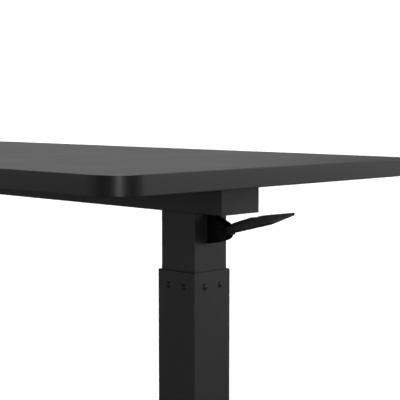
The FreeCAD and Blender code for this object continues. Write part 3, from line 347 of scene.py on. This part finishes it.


# what all coats share: cloud is the range of the soft change of tone, dust the tone that full
# dust adds, cool the blue against red and green, the painted top's rise the normal's z from the side grey
# to the painted-light grey
coatShare = {"cloud": (0.92, 1.08), "dust": 0.1, "cool": 1.03, "drawnDepth": 0.8, "bump": 0.35,
             "sides": (0.6, 0.85)}


# tone = grey * (cloud + speckle) + dust, and where the look has a side grey, grey = side grey +
# (grey - side grey) * how far the face looks up, a painted light on the faces that look up; the relief is
# the grain and any drawn lines
def makeCoat(name, look):
    material, tree, shader, place = newMaterial(name)
    grain = addNode(tree, "ShaderNodeGroup", {}, node_tree=coatGrain)
    dust = addNode(tree, "ShaderNodeGroup", {}, node_tree=settledDust)
    tree.links.new(place, grain.inputs["Vector"])
    tree.links.new(place, dust.inputs["Vector"])
    grain.inputs["Swell Scale"].default_value = look["swell"]
    grain.inputs["Grit Scale"].default_value = look["grit"]
    grain.inputs["Grit Share"].default_value = look["gritShare"]
    dust.inputs["Amount"].default_value = look["dust"]
    flecks = maths(tree, "MULTIPLY", grain.outputs["Speckle"], look["speckle"])
    shade = maths(tree, "ADD", remap(tree, grain.outputs["Cloud"], 0, 1, *coatShare["cloud"]), flecks)
    grey = look["grey"]
    # painted light: the faces that look up are made lighter than the sides
    if "sideGreyBelowPaintedTop" in look:
        normal = addNode(tree, "ShaderNodeNewGeometry").outputs["Normal"]
        up = addNode(tree, "ShaderNodeSeparateXYZ", {"Vector": normal}).outputs["Z"]
        grey = remap(tree, up, *coatShare["sides"], look["sideGreyBelowPaintedTop"], look["grey"])
    tone = maths(tree, "MULTIPLY", shade, grey)
    added = maths(tree, "MULTIPLY", dust.outputs["Mask"], coatShare["dust"])
    dusty = maths(tree, "ADD", tone, added)
    blue = maths(tree, "MULTIPLY", dusty, coatShare["cool"])
    colour = addNode(tree, "ShaderNodeCombineColor", {0: dusty, 1: dusty, 2: blue})
    height = grain.outputs["Height"]
    if "drawn" in look:
        lines = addNode(tree, "ShaderNodeGroup", {}, node_tree=drawnLines)
        tree.links.new(place, lines.inputs["Vector"])
        lines.inputs["Stretch"].default_value = look["drawn"]
        relief = maths(tree, "MULTIPLY", lines.outputs["Height"], coatShare["drawnDepth"])
        height = maths(tree, "ADD", height, relief)
    bump = addNode(tree, "ShaderNodeBump", {"Height": height, "Strength": coatShare["bump"],
                                            "Distance": look["peel"] * mm})
    halfSpread = look["spread"] / 2
    rough = remap(tree, grain.outputs["Cloud"], 0, 1,
                  look["rough"] - halfSpread, look["rough"] + halfSpread)
    tree.links.new(colour.outputs[0], shader.inputs["Base Color"])
    tree.links.new(rough, shader.inputs["Roughness"])
    tree.links.new(bump.outputs[0], shader.inputs["Normal"])
    shader.inputs["Specular IOR Level"].default_value = look["specular"]
    return material


# stretch is small along the lines that drawing or turning leaves in the metal
metalLooks = {
    "blackOxide": {"colour": (0.03, 0.03, 0.031), "metallic": 0.4, "rough": 0.30, "cloud": 0.3,
                   "stretch": (1.0, 1.0, 1.0)},
    "turnedSteel": {"colour": (0.50, 0.50, 0.51), "metallic": 1.0, "rough": 0.32, "cloud": 0.15,
                    "stretch": (0.02, 0.02, 1.0)},
    "polishedRod": {"colour": (0.78, 0.79, 0.80), "metallic": 1.0, "rough": 0.12, "cloud": 0.05,
                    "stretch": (0.02, 0.02, 1.0)},
    "turnedBrass": {"colour": (0.72, 0.53, 0.24), "metallic": 1.0, "rough": 0.30, "cloud": 0.15,
                    "stretch": (0.02, 0.02, 1.0)},
}


metalShare = {"lines": 2500.0, "roughSwing": (0.8, 1.25), "bump": 0.3, "depth": 0.02 * mm}


# colour = the metal's own * (1 +- cloud), and roughness = its own * a swing along the drawn lines
def makeMetal(name, look):
    material, tree, shader, place = newMaterial(name)
    lines = addNode(tree, "ShaderNodeGroup", {}, node_tree=drawnLines)
    grain = addNode(tree, "ShaderNodeGroup", {}, node_tree=coatGrain)
    tree.links.new(place, lines.inputs["Vector"])
    tree.links.new(place, grain.inputs["Vector"])
    lines.inputs["Stretch"].default_value = look["stretch"]
    lines.inputs["Scale"].default_value = metalShare["lines"]
    cloud = remap(tree, grain.outputs["Cloud"], 0, 1, 1 - look["cloud"], 1 + look["cloud"])
    shades = {i: maths(tree, "MULTIPLY", cloud, part) for i, part in enumerate(look["colour"])}
    colour = addNode(tree, "ShaderNodeCombineColor", shades)
    least, most = metalShare["roughSwing"]
    rough = remap(tree, lines.outputs["Height"], 0.3, 0.7, look["rough"] * least, look["rough"] * most)
    bump = addNode(tree, "ShaderNodeBump", {"Height": lines.outputs["Height"],
                                            "Strength": metalShare["bump"],
                                            "Distance": metalShare["depth"]})
    tree.links.new(colour.outputs[0], shader.inputs["Base Color"])
    tree.links.new(rough, shader.inputs["Roughness"])
    tree.links.new(bump.outputs[0], shader.inputs["Normal"])
    shader.inputs["Metallic"].default_value = look["metallic"]
    return material


boardLook = {"dark": (0.25, 0.16, 0.08, 1), "light": (0.62, 0.47, 0.28, 1), "chips": 350.0,
             "flat": 4.0, "rough": (0.7, 0.9), "bump": 0.5, "depth": 0.3 * mm}


# particle board: flat chips as stretched cells, each of its own brown, which is
# dark + (light - dark) * the cell's random value
def makeBoard(name, look):
    material, tree, shader, place = newMaterial(name)
    flat = addNode(tree, "ShaderNodeVectorMath", {0: place, 1: (1.0, 1.0, look["flat"])},
                   operation="MULTIPLY")
    chips = addNode(tree, "ShaderNodeTexVoronoi", {"Vector": flat.outputs[0], "Scale": look["chips"]})
    tone = addNode(tree, "ShaderNodeSeparateColor", {"Color": chips.outputs["Color"]})
    brown = addNode(tree, "ShaderNodeMix", {"Factor": tone.outputs[0], 6: look["dark"], 7: look["light"]},
                    data_type="RGBA")
    bump = addNode(tree, "ShaderNodeBump", {"Height": chips.outputs["Distance"],
                                            "Strength": look["bump"], "Distance": look["depth"]})
    tree.links.new(brown.outputs[2], shader.inputs["Base Color"])
    tree.links.new(remap(tree, tone.outputs[1], 0, 1, *look["rough"]), shader.inputs["Roughness"])
    tree.links.new(bump.outputs[0], shader.inputs["Normal"])
    return material


materials = {name: makeCoat(name, look) for name, look in coatLooks.items()}
materials.update({name: makeMetal(name, look) for name, look in metalLooks.items()})
materials["chipboard"] = makeBoard("chipboard", boardLook)
print("materials ready")

slotFinish = {
    "laminate": "melamineFace", "board": "chipboard", "edge": "edgeFilm", "frame_paint": "powderCoat",
    "black_steel": "blackOxide", "paddle_finish": "paddlePaintedLightCoat", "glide_plastic": "mouldedPlastic",
    "cylinder_paint": "cylinderEnamel", "bright_rod": "polishedRod", "plain_steel": "turnedSteel",
    "nut_brass": "turnedBrass", "sheath_plastic": "mouldedPlastic", "leveller_plastic": "mouldedPlastic",
}
nodeFinish = {
    # the bracket and the parts by it take the black coat darkened as painted shade
    "lever_bracket": "shadeDarkenedBlackCoat", "paddle_pivot_pin": "shadeDarkenedBlackCoat", "bracket_screws": "blackOxide",
    "release_link": "shadeDarkenedBlackCoat", "right_rocker": "shadeDarkenedBlackCoat",
}
slotOf = {part["node"]: part["material_slot"] for part in frame["record"]["subparts"]}
for node, piece in frame["nodes"].items():
    piece.data.materials.clear()
    piece.data.materials.append(materials[nodeFinish.get(node, slotFinish[slotOf[node]])])
print("carried nodes painted")


topLook = {"corner": 48 * mm, "round": 1.0 * mm, "seam": 0.25 * mm}


def makeTabletop():
    low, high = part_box("edge_band")
    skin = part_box("top_laminate")[1]
    section = wallSection(high.x - skin.x, low.z, high.z, topLook["round"], topLook["seam"])
    band = hollowRing((0, 0), high.x, high.y, topLook["corner"], section, steps=28)
    addPiece("edgeBand", band, "top_frame", ["edge_band"], "edgeFilm")
    outline = roundedRect(skin.x, skin.y, topLook["corner"] - (high.x - skin.x), steps=28)
    for name, node in (("topSkin", "top_laminate"), ("underSkin", "bottom_laminate")):
        low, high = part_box(node)
        sheet = rolledBlock(outline, low.z, high.z, topLook["seam"])
        addPiece(name, sheet, "top_frame", [node], "melamineFace")


makeTabletop()
print("tabletop done")


tubeLook = {"wall": 2 * mm, "corner": 1.6 * mm, "rim": 0.8 * mm}
screwLook = {"head": 9 * mm, "dome": 2.2 * mm, "socket": 2.5 * mm, "socketDepth": 0.6 * mm,
             "socketDraft": 0.96, "sunk": 0.4 * mm, "pitch": 15 * mm}


def makeTube(node, body):
    low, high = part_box(node)
    section = wallSection(tubeLook["wall"], low.z, high.z, tubeLook["rim"], tubeLook["rim"])
    centre = ((low.x + high.x) / 2, (low.y + high.y) / 2)
    shape = hollowRing(centre, (high.x - low.x) / 2, high.y, tubeLook["corner"], section)
    addPiece(node + ".shell", shape, body, [node], "powderCoat")


def makeGlideScrews():
    low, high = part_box("glide_screws")
    z = (low.z + high.z) / 2
    heads = []
    for tube in ("left_outer_tube", "right_outer_tube"):
        first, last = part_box(tube)
        middle = (first.x + last.x) / 2
        for offset in (-screwLook["pitch"], screwLook["pitch"]):
            heads.append(buttonHead((last.x, offset, z), screwLook, (1, 2, 0), 1))
            heads.append(buttonHead((first.x, offset, z), screwLook, (1, 2, 0), -1))
            heads.append(buttonHead((middle + offset, last.y, z), screwLook, (0, 2, 1), 1))
            heads.append(buttonHead((middle + offset, first.y, z), screwLook, (0, 2, 1), -1))
    addPiece("glideScrewHeads", gather(heads), "base", ["glide_screws"], "blackOxide")


for side in ("left", "right"):
    makeTube(side + "_outer_tube", "base")
    makeTube(side + "_inner_tube", "top_frame")
makeGlideScrews()
print("columns done")


beamLook = {"round": 1.5 * mm, "wall": 2 * mm, "lip": 10 * mm, "fold": 0.6 * mm,
            "capCorner": 1.5 * mm, "capSeam": 0.2 * mm, "capEdge": 0.4 * mm}


def makeBeam():
    low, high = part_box("cross_beam")
    half, wall, tall = high.y, beamLook["wall"], high.z - low.z
    lip = half - beamLook["lip"]
    right = [(half, 0), (half, tall), (lip, tall), (lip, tall - wall), (half - wall, tall - wall),
             (half - wall, wall)]
    fold = beamLook["fold"]
    rightRound = [beamLook["round"], fold, fold / 2, fold / 2, fold / 2, fold / 2]
    outline = right + [(-y, z) for y, z in reversed(right)]
    outline = roundCorners(outline, rightRound + rightRound[::-1]) + np.array([0, low.z])
    rings = [intoSpace(outline, x, (1, 2, 0)) for x in (low.x, high.x)]
    addPiece("beamChannel", skinRings(rings), "top_frame", ["cross_beam"], "powderCoat")
    caps = []
    capLow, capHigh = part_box("beam_end_caps")
    for side in (-1, 1):
        flat = [(high.x * side, capHigh.y), (high.x * side, capLow.y),
                (capHigh.x * side, capLow.y), (capHigh.x * side, capHigh.y)]
        corner, seam = beamLook["capCorner"], beamLook["capSeam"]
        outline = roundCorners(flat, [seam, seam, corner, corner], steps=8)
        caps.append(rolledBlock(outline, capLow.z, capHigh.z, beamLook["capEdge"]))
    addPiece("beamCaps", gather(caps), "top_frame", ["beam_end_caps"], "powderCoat")


makeBeam()
print("beam done")


# the folded bracket: at each height the two cheeks reach out to a front limit, in x from the
# column's face and z from the beam's underside
bracketLook = {"below": 0.1 * mm, "sheet": 2 * mm, "fold": 2.6 * mm, "edge": 0.35 * mm,
               "front": [(10.5, 0), (10.5, -6), (30.5, -14), (34.5, -18), (36.5, -27), (34.5, -33.5),
                         (29.5, -37), (6.5, -43.6)]}
# paddle stations: out from the hinge; near edge y, z; far edge y, z; and the turned-up lip's top
paddleLook = {"lipWall": 1.8 * mm, "lipRound": 0.5 * mm, "lipLeast": 1.2 * mm, "edge": 0.9 * mm,
              "thick": 3.5 * mm, "tipRound": 3.5 * mm, "tipNarrow": 0.9,
              "stations": [(4, -4.6, 0.4, 5, 1.9), (9, -5.4, 0.5, 5.4, 3.9), (16, -5.6, 0.6, 12, 9.3),
                           (27, -13.3, 2.6, 24, 16.9), (34, -18.4, 3.8, 24, 18.8), (42, -24, 5.2, 24, 21.4),
                           (49, -24, 7.0, 24, 22.7), (97, -24, 19.2, 24, 29.3),
                           (103.5, -24, 20.9, 24, 30.2)],
              "lipTop": [(2, 6.4), (5, 7.6), (12, 11.4), (16, 13.4), (22, 16), (27, 18.2), (31, 18.5),
                         (34, 19.2)],
              "rivet": (19.5, -6.4, 1.0), "rivetHead": 3.8 * mm, "rivetSunk": 1.5 * mm,
              "rivetRim": 0.3 * mm, "rivetDome": 1.1 * mm}
# the hinge end, from the pin: two tines and the web between them
tineLook = {"half": 4 * mm, "out": 12 * mm, "round": 3.6 * mm, "corner": 1 * mm, "edge": 0.3 * mm,
            "near": (2.4 * mm, -4.4 * mm), "wide": 2 * mm, "web": 4 * mm, "webRound": 1.2 * mm,
            "webOut": 10.5 * mm, "webDrop": 1 * mm, "webHalf": 4.6 * mm, "webEdge": 0.4 * mm}


def makeBracket():
    low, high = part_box("lever_bracket")
    front = np.array(bracketLook["front"]) * mm
    heights = np.concatenate([np.linspace(a, b, 6)[:-1] for a, b in zip(front[:-1, 1], front[1:, 1])]
                             + [front[-1:, 1]])
    reach = np.interp(-heights, -front[:, 1], front[:, 0])
    half, sheet, fold = high.y, bracketLook["sheet"], bracketLook["fold"]
    rings = []
    for x, z in zip(reach, heights):
        flat = [(x, half), (0, half), (0, -half), (x, -half), (x, sheet - half), (sheet, sheet - half),
                (sheet, half - sheet), (x, half - sheet)]
        edge = bracketLook["edge"]
        outline = roundCorners(flat, [edge, fold, fold, edge, edge, fold - sheet, fold - sheet, edge])
        outline = outline + np.array([low.x, 0])
        rings.append(intoSpace(outline, high.z + z - bracketLook["below"], (0, 1, 2)))
    addPiece("leverBracketFold", skinRings(rings), "top_frame", ["lever_bracket"],
             "shadeDarkenedBlackCoat")


# the blade is a flat bar section carried outwards: its near and far edges follow the stations,
# and over the last stretch it narrows on an ellipse, which rounds the corners of its tip
def makePaddle(hinge):
    stations = np.array(paddleLook["stations"]) * mm
    tip, roundPart = stations[-1, 0], paddleLook["tipRound"]
    out = np.concatenate([np.linspace(stations[0, 0], tip - roundPart, 60),
                          tip - roundPart + roundPart * np.sin(np.linspace(0, np.pi / 2, 12)[1:])])
    nearY, nearZ, farY, farZ = (np.interp(out, stations[:, 0], stations[:, i]) for i in (1, 2, 3, 4))
    past = np.clip((out - tip + roundPart) / roundPart, 0, 1)
    narrow = paddleLook["tipNarrow"] + (1 - paddleLook["tipNarrow"]) * np.sqrt(np.clip(1 - past ** 2, 0, 1))
    middle = np.stack([(nearY + farY) / 2, (nearZ + farZ) / 2], 1)
    half = np.stack([farY - nearY, farZ - nearZ], 1) / 2 * narrow[:, None]
    across = np.hypot(half[:, 0], half[:, 1])
    way = half / across[:, None]
    thick = paddleLook["thick"]
    flat = np.stack([roundedRect(wide, thick / 2, paddleLook["edge"], steps=4) for wide in across])
    y = middle[:, :1] + flat[..., 0] * way[:, :1] - (flat[..., 1] - thick / 2) * way[:, 1:]
    z = middle[:, 1:] + flat[..., 0] * way[:, 1:] + (flat[..., 1] - thick / 2) * way[:, :1]
    x = np.broadcast_to(out[:, None], y.shape)
    shapes = [skinRings(np.stack([x, y, z], 2) + hinge)]
    # the far edge is turned up from the hinge to the blade's shoulder
    lipTop = np.array(paddleLook["lipTop"]) * mm
    lipOut = np.linspace(lipTop[0, 0], lipTop[-1, 0], 33)
    top = np.interp(lipOut, lipTop[:, 0], lipTop[:, 1])
    foot = np.interp(lipOut, stations[:, 0], stations[:, 4]) - thick / 2
    outer = np.interp(lipOut, stations[:, 0], stations[:, 3])
    wall = paddleLook["lipWall"]
    tall = np.maximum(top - foot, paddleLook["lipLeast"])
    flat = np.stack([roundedRect(wall / 2, one / 2, paddleLook["lipRound"], steps=3) for one in tall])
    y = (outer - wall / 2)[:, None] + flat[..., 0]
    z = (foot + tall / 2)[:, None] + flat[..., 1]
    shapes.append(skinRings(np.stack([np.broadcast_to(lipOut[:, None], y.shape), y, z], 2) + hinge))
    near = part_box("release_paddle")[0].x
    far, bottom, top = hinge[0] + tineLook["out"], hinge[2] - tineLook["half"], hinge[2] + tineLook["half"]
    side = [(near, bottom), (far, bottom), (far, top), (near, top)]
    hingeRound, corner = tineLook["round"], tineLook["corner"]
    tine = roundCorners(side, [hingeRound, corner, corner, hingeRound], steps=8)
    for first in tineLook["near"]:
        shapes.append(rolledBlock(tine, first, first + tineLook["wide"], tineLook["edge"], order=(0, 2, 1)))
    web = roundedRect(tineLook["web"], tineLook["web"], tineLook["webRound"])
    web = web + np.array([hinge[0] + tineLook["webOut"], hinge[2] - tineLook["webDrop"]])
    webHalf = tineLook["webHalf"]
    shapes.append(rolledBlock(web, -webHalf, webHalf, tineLook["webEdge"], order=(0, 2, 1)))
    addPiece("paddleBlade", gather(shapes), "paddle", ["release_paddle"], "paddlePaintedLightCoat")
    spot = np.array(paddleLook["rivet"]) * mm + hinge
    head = paddleLook["rivetHead"] / 2
    angle = np.linspace(0, np.pi / 2, 6)
    rise = paddleLook["rivetRim"] + paddleLook["rivetDome"] * np.sin(angle)
    profile = [(head, -paddleLook["rivetSunk"])] + list(zip(head * np.cos(angle), rise))
    addPiece("paddleRivet", turnProfile(profile, spot), "paddle", None, "shadeDarkenedBlackCoat")


makeBracket()
pinLow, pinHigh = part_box("paddle_pivot_pin")
makePaddle(np.array([(pinLow.x + pinHigh.x) / 2, 0, (pinLow.z + pinHigh.z) / 2]))
print("release paddle done")


footLook = {"corner": 3 * mm, "wall": 2 * mm, "rim": 0.3 * mm, "edge": 0.5 * mm, "plateCorner": 4 * mm,
            "plateEdge": 0.6 * mm, "washerSunk": 0.2 * mm, "washerSide": 0.7 * mm, "washerTall": 0.9 * mm,
            "washerEdge": 0.4 * mm, "headLow": 0.5 * mm,
            "boltHead": 13 * mm, "boltAcross": 22 * mm, "boltAlong": 51 * mm, "washer": 16 * mm}
levelLook = {"pad": 40 * mm, "padHeight": 6 * mm, "hex": 13 * mm, "hexTop": 11.7 * mm, "lap": 0.5 * mm,
             "stud": 8 * mm, "lobes": 24, "swell": 0.012, "thread": 1.25 * mm, "threadDeep": 0.35 * mm}


def makeFeet():
    caps, bolts = [], []
    capLow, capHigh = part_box("foot_end_caps")
    for side in ("left", "right"):
        low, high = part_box(side + "_foot_beam")
        middle = np.array([(low.x + high.x) / 2, (low.z + high.z) / 2])
        halfWide, halfTall = (high.x - low.x) / 2, (high.z - low.z) / 2
        section = wallSection(footLook["wall"], low.y, high.y, footLook["rim"], footLook["rim"])
        tube = hollowRing(middle, halfWide, halfTall, footLook["corner"], section, order=(0, 2, 1))
        addPiece(side + "FootTube", tube, "base", [side + "_foot_beam"], "powderCoat")
        outline = roundedRect(halfWide, halfTall, footLook["corner"]) + middle
        caps.append(rolledBlock(outline, capLow.y, low.y, footLook["edge"], order=(0, 2, 1)))
        caps.append(rolledBlock(outline, high.y, capHigh.y, footLook["edge"], order=(0, 2, 1)))
        low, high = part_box(side + "_base_plate")
        outline = roundedRect((high.x - low.x) / 2, high.y, footLook["plateCorner"])
        outline = outline + np.array([middle[0], 0])
        plate = rolledBlock(outline, low.z, high.z, footLook["plateEdge"])
        addPiece(side + "BasePlate", plate, "base", [side + "_base_plate"], "powderCoat")
        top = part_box("base_bolts")[1].z
        radius, tall = footLook["washer"] / 2, footLook["washerTall"]
        washer = [(radius, -footLook["washerSunk"]), (radius, footLook["washerSide"]),
                  (radius - footLook["washerEdge"], tall), (0, tall)]
        for x in (-footLook["boltAcross"], footLook["boltAcross"]):
            for y in (-footLook["boltAlong"], footLook["boltAlong"]):
                spot = (middle[0] + x, y, high.z)
                bolts.append(turnProfile(washer, spot))
                bolts.append(hexHead(spot, footLook["boltHead"], footLook["headLow"], top - high.z))
    addPiece("footCaps", gather(caps), "base", ["foot_end_caps"], "mouldedPlastic")
    addPiece("baseBolts", gather(bolts), "base", ["base_bolts"], "blackOxide")


# the stud's thread is a wave of its radius up the stud, with a crest each pitch
def makeLeveller(node, body):
    low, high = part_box(node)
    centre = ((low.x + high.x) / 2, (low.y + high.y) / 2, 0)
    pad, tall = levelLook["pad"] / 2 / (1 + levelLook["swell"]), levelLook["padHeight"]
    rim = [(pad - 1 * mm, 0), (pad, 1 * mm), (pad, tall - 2.2 * mm), (pad - 0.5 * mm, tall - 1.2 * mm),
           (pad - 2 * mm, tall - 0.3 * mm), (pad - 5 * mm, tall), (0, tall)]
    disc = turnProfile(rim, centre, around=144, lobes=levelLook["lobes"], swell=levelLook["swell"])
    collarTop, lap = levelLook["hexTop"], levelLook["lap"]
    collar = hexHead(centre, levelLook["hex"], tall - lap, collarTop)
    up = np.linspace(collarTop - lap, high.z, 90)
    groove = 0.5 - 0.5 * np.cos(2 * np.pi * up / levelLook["thread"])
    radius = levelLook["stud"] / 2 - levelLook["threadDeep"] * groove
    stud = turnProfile(list(zip(radius, up)), centre, around=24)
    addPiece(node + ".foot", gather([disc, collar, stud]), body, [node],
             "mouldedPlastic", sharpAngle=40)


makeFeet()
for side in ("left", "right"):
    for end in ("front", "rear"):
        makeLeveller(f"{side}_{end}_leveller", f"{side}_{end}_foot")
print("feet done")


stageLook = {"reach": 40.0, "seenTone": 0.93, "bouncedTone": 0.10, "cloud": (0.98, 1.0)}


# the floor is paler to the eye than in the light it throws back up at the desk:
# tone = (bouncedTone, or seenTone to the eye) * cloud
def makeFloor():
    reach = stageLook["reach"]
    mesh = bpy.data.meshes.new("floor")
    mesh.from_pydata([(-reach, -reach, 0), (reach, -reach, 0), (reach, reach, 0), (-reach, reach, 0)], [],
                     [(0, 1, 2, 3)])
    floor = bpy.data.objects.new("floor", mesh)
    bpy.context.scene.collection.objects.link(floor)
    material, tree, shader, place = newMaterial("paleFloor")
    isEye = addNode(tree, "ShaderNodeLightPath").outputs["Is Camera Ray"]
    noise = addNode(tree, "ShaderNodeTexNoise", {"Vector": place, "Scale": 3.0, "Detail": 3.0})
    cloud = remap(tree, noise.outputs["Fac"], 0.3, 0.7, *stageLook["cloud"])
    plain = remap(tree, isEye, 0, 1, stageLook["bouncedTone"], stageLook["seenTone"])
    tone = maths(tree, "MULTIPLY", plain, cloud)
    colour = addNode(tree, "ShaderNodeCombineColor", {0: tone, 1: tone, 2: tone})
    tree.links.new(colour.outputs[0], shader.inputs["Base Color"])
    shader.inputs["Roughness"].default_value = 0.9
    shader.inputs["Specular IOR Level"].default_value = 0.0
    mesh.materials.append(material)


# the room is white to the eye; as light it is a faint glow with three soft windows, each with
# the way it lies in degrees round from +X, its half width, its soft edge and its brightness.
# dark and full are the heights of a window's light, as the z of the way it comes from
roomLook = {"seen": 1.15, "glow": 0.04, "dark": 0.75, "full": 0.25}
windowLooks = {
    "backLeft": {"turn": 142, "half": 8, "soft": 13, "bright": 0.42},
    "backRight": {"turn": 52, "half": 12, "soft": 22, "bright": 2.65},
    "frontLeft": {"turn": -135, "half": 15, "soft": 25, "bright": 0.78},
}


# a window's light is full within its half width and fades over its soft edge, and towards the
# ceiling: the cosine of the angle off its middle is spread from 0 to 1
def makeWindow(tree, level, height, look):
    turn = math.radians(look["turn"])
    middle = (math.cos(turn), math.sin(turn), 0)
    nearness = addNode(tree, "ShaderNodeVectorMath", {0: level, 1: middle}, operation="DOT_PRODUCT")
    edge = math.cos(math.radians(look["half"] + look["soft"]))
    full = math.cos(math.radians(look["half"]))
    shape = remap(tree, nearness.outputs["Value"], edge, full)
    return maths(tree, "MULTIPLY", maths(tree, "MULTIPLY", shape, height), look["bright"])


# brightness = glow + the sum over the windows of shape * height * bright, or seen to the eye
def makeRoom():
    world = bpy.data.worlds.new("studio")
    bpy.context.scene.world = world
    world.use_nodes = True
    tree = world.node_tree
    tree.nodes.clear()
    way = addNode(tree, "ShaderNodeTexCoord").outputs["Generated"]
    flattened = addNode(tree, "ShaderNodeVectorMath", {0: way, 1: (1, 1, 0)}, operation="MULTIPLY")
    level = addNode(tree, "ShaderNodeVectorMath", {0: flattened.outputs[0]},
                    operation="NORMALIZE").outputs[0]
    rise = addNode(tree, "ShaderNodeSeparateXYZ", {"Vector": way}).outputs["Z"]
    height = remap(tree, rise, roomLook["dark"], roomLook["full"])
    glow = roomLook["glow"]
    for look in windowLooks.values():
        glow = maths(tree, "ADD", makeWindow(tree, level, height, look), glow)
    isEye = addNode(tree, "ShaderNodeLightPath").outputs["Is Camera Ray"]
    strength = addNode(tree, "ShaderNodeMix", {0: isEye, 2: glow, 3: roomLook["seen"]}, data_type="FLOAT")
    background = addNode(tree, "ShaderNodeBackground", {"Color": (1, 1, 1, 1),
                                                        "Strength": strength.outputs[0]})
    end = addNode(tree, "ShaderNodeOutputWorld")
    tree.links.new(background.outputs[0], end.inputs[0])


lampLooks = {
    "sun": {"power": 3.6, "angle": 45, "from": (0.0, 0.1, 1.0)},
    "edgeStrip": {"power": 16, "size": (0.45, 1.8), "place": (2.85, -2.0, 1.0), "aim": (0.5, -0.1, 0.7)},
}


def makeLamp(name, look):
    isSun = "angle" in look
    light = bpy.data.lights.new(name, "SUN" if isSun else "AREA")
    light.energy = look["power"]
    lamp = bpy.data.objects.new(name, light)
    bpy.context.scene.collection.objects.link(lamp)
    lamp.rotation_mode = "QUATERNION"
    if isSun:
        light.angle = math.radians(look["angle"])
        away = Vector(look["from"])
    else:
        light.shape = "RECTANGLE"
        light.size, light.size_y = look["size"]
        lamp.location = look["place"]
        away = Vector(look["place"]) - Vector(look["aim"])
    lamp.rotation_quaternion = away.to_track_quat("Z", "Y")


cameraLook = {"place": (1.5072, -1.0808), "aboveTop": 0.0772, "turn": 44.75, "down": 4.94, "lens": 98.37}


def makeCamera():
    lens = bpy.data.cameras.new("camera")
    camera = bpy.data.objects.new("camera", lens)
    bpy.context.scene.collection.objects.link(camera)
    camera.location = (*cameraLook["place"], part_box("top_laminate")[1].z + cameraLook["aboveTop"])
    camera.rotation_euler = (math.radians(90 - cameraLook["down"]), 0, math.radians(cameraLook["turn"]))
    lens.lens = cameraLook["lens"]
    lens.sensor_width = 36
    lens.clip_start = 0.05
    lens.clip_end = 200
    bpy.context.scene.camera = camera


makeFloor()
makeRoom()
for name, look in lampLooks.items():
    makeLamp(name, look)
makeCamera()
bpy.context.scene.view_settings.view_transform = "Standard"
print("stage done")
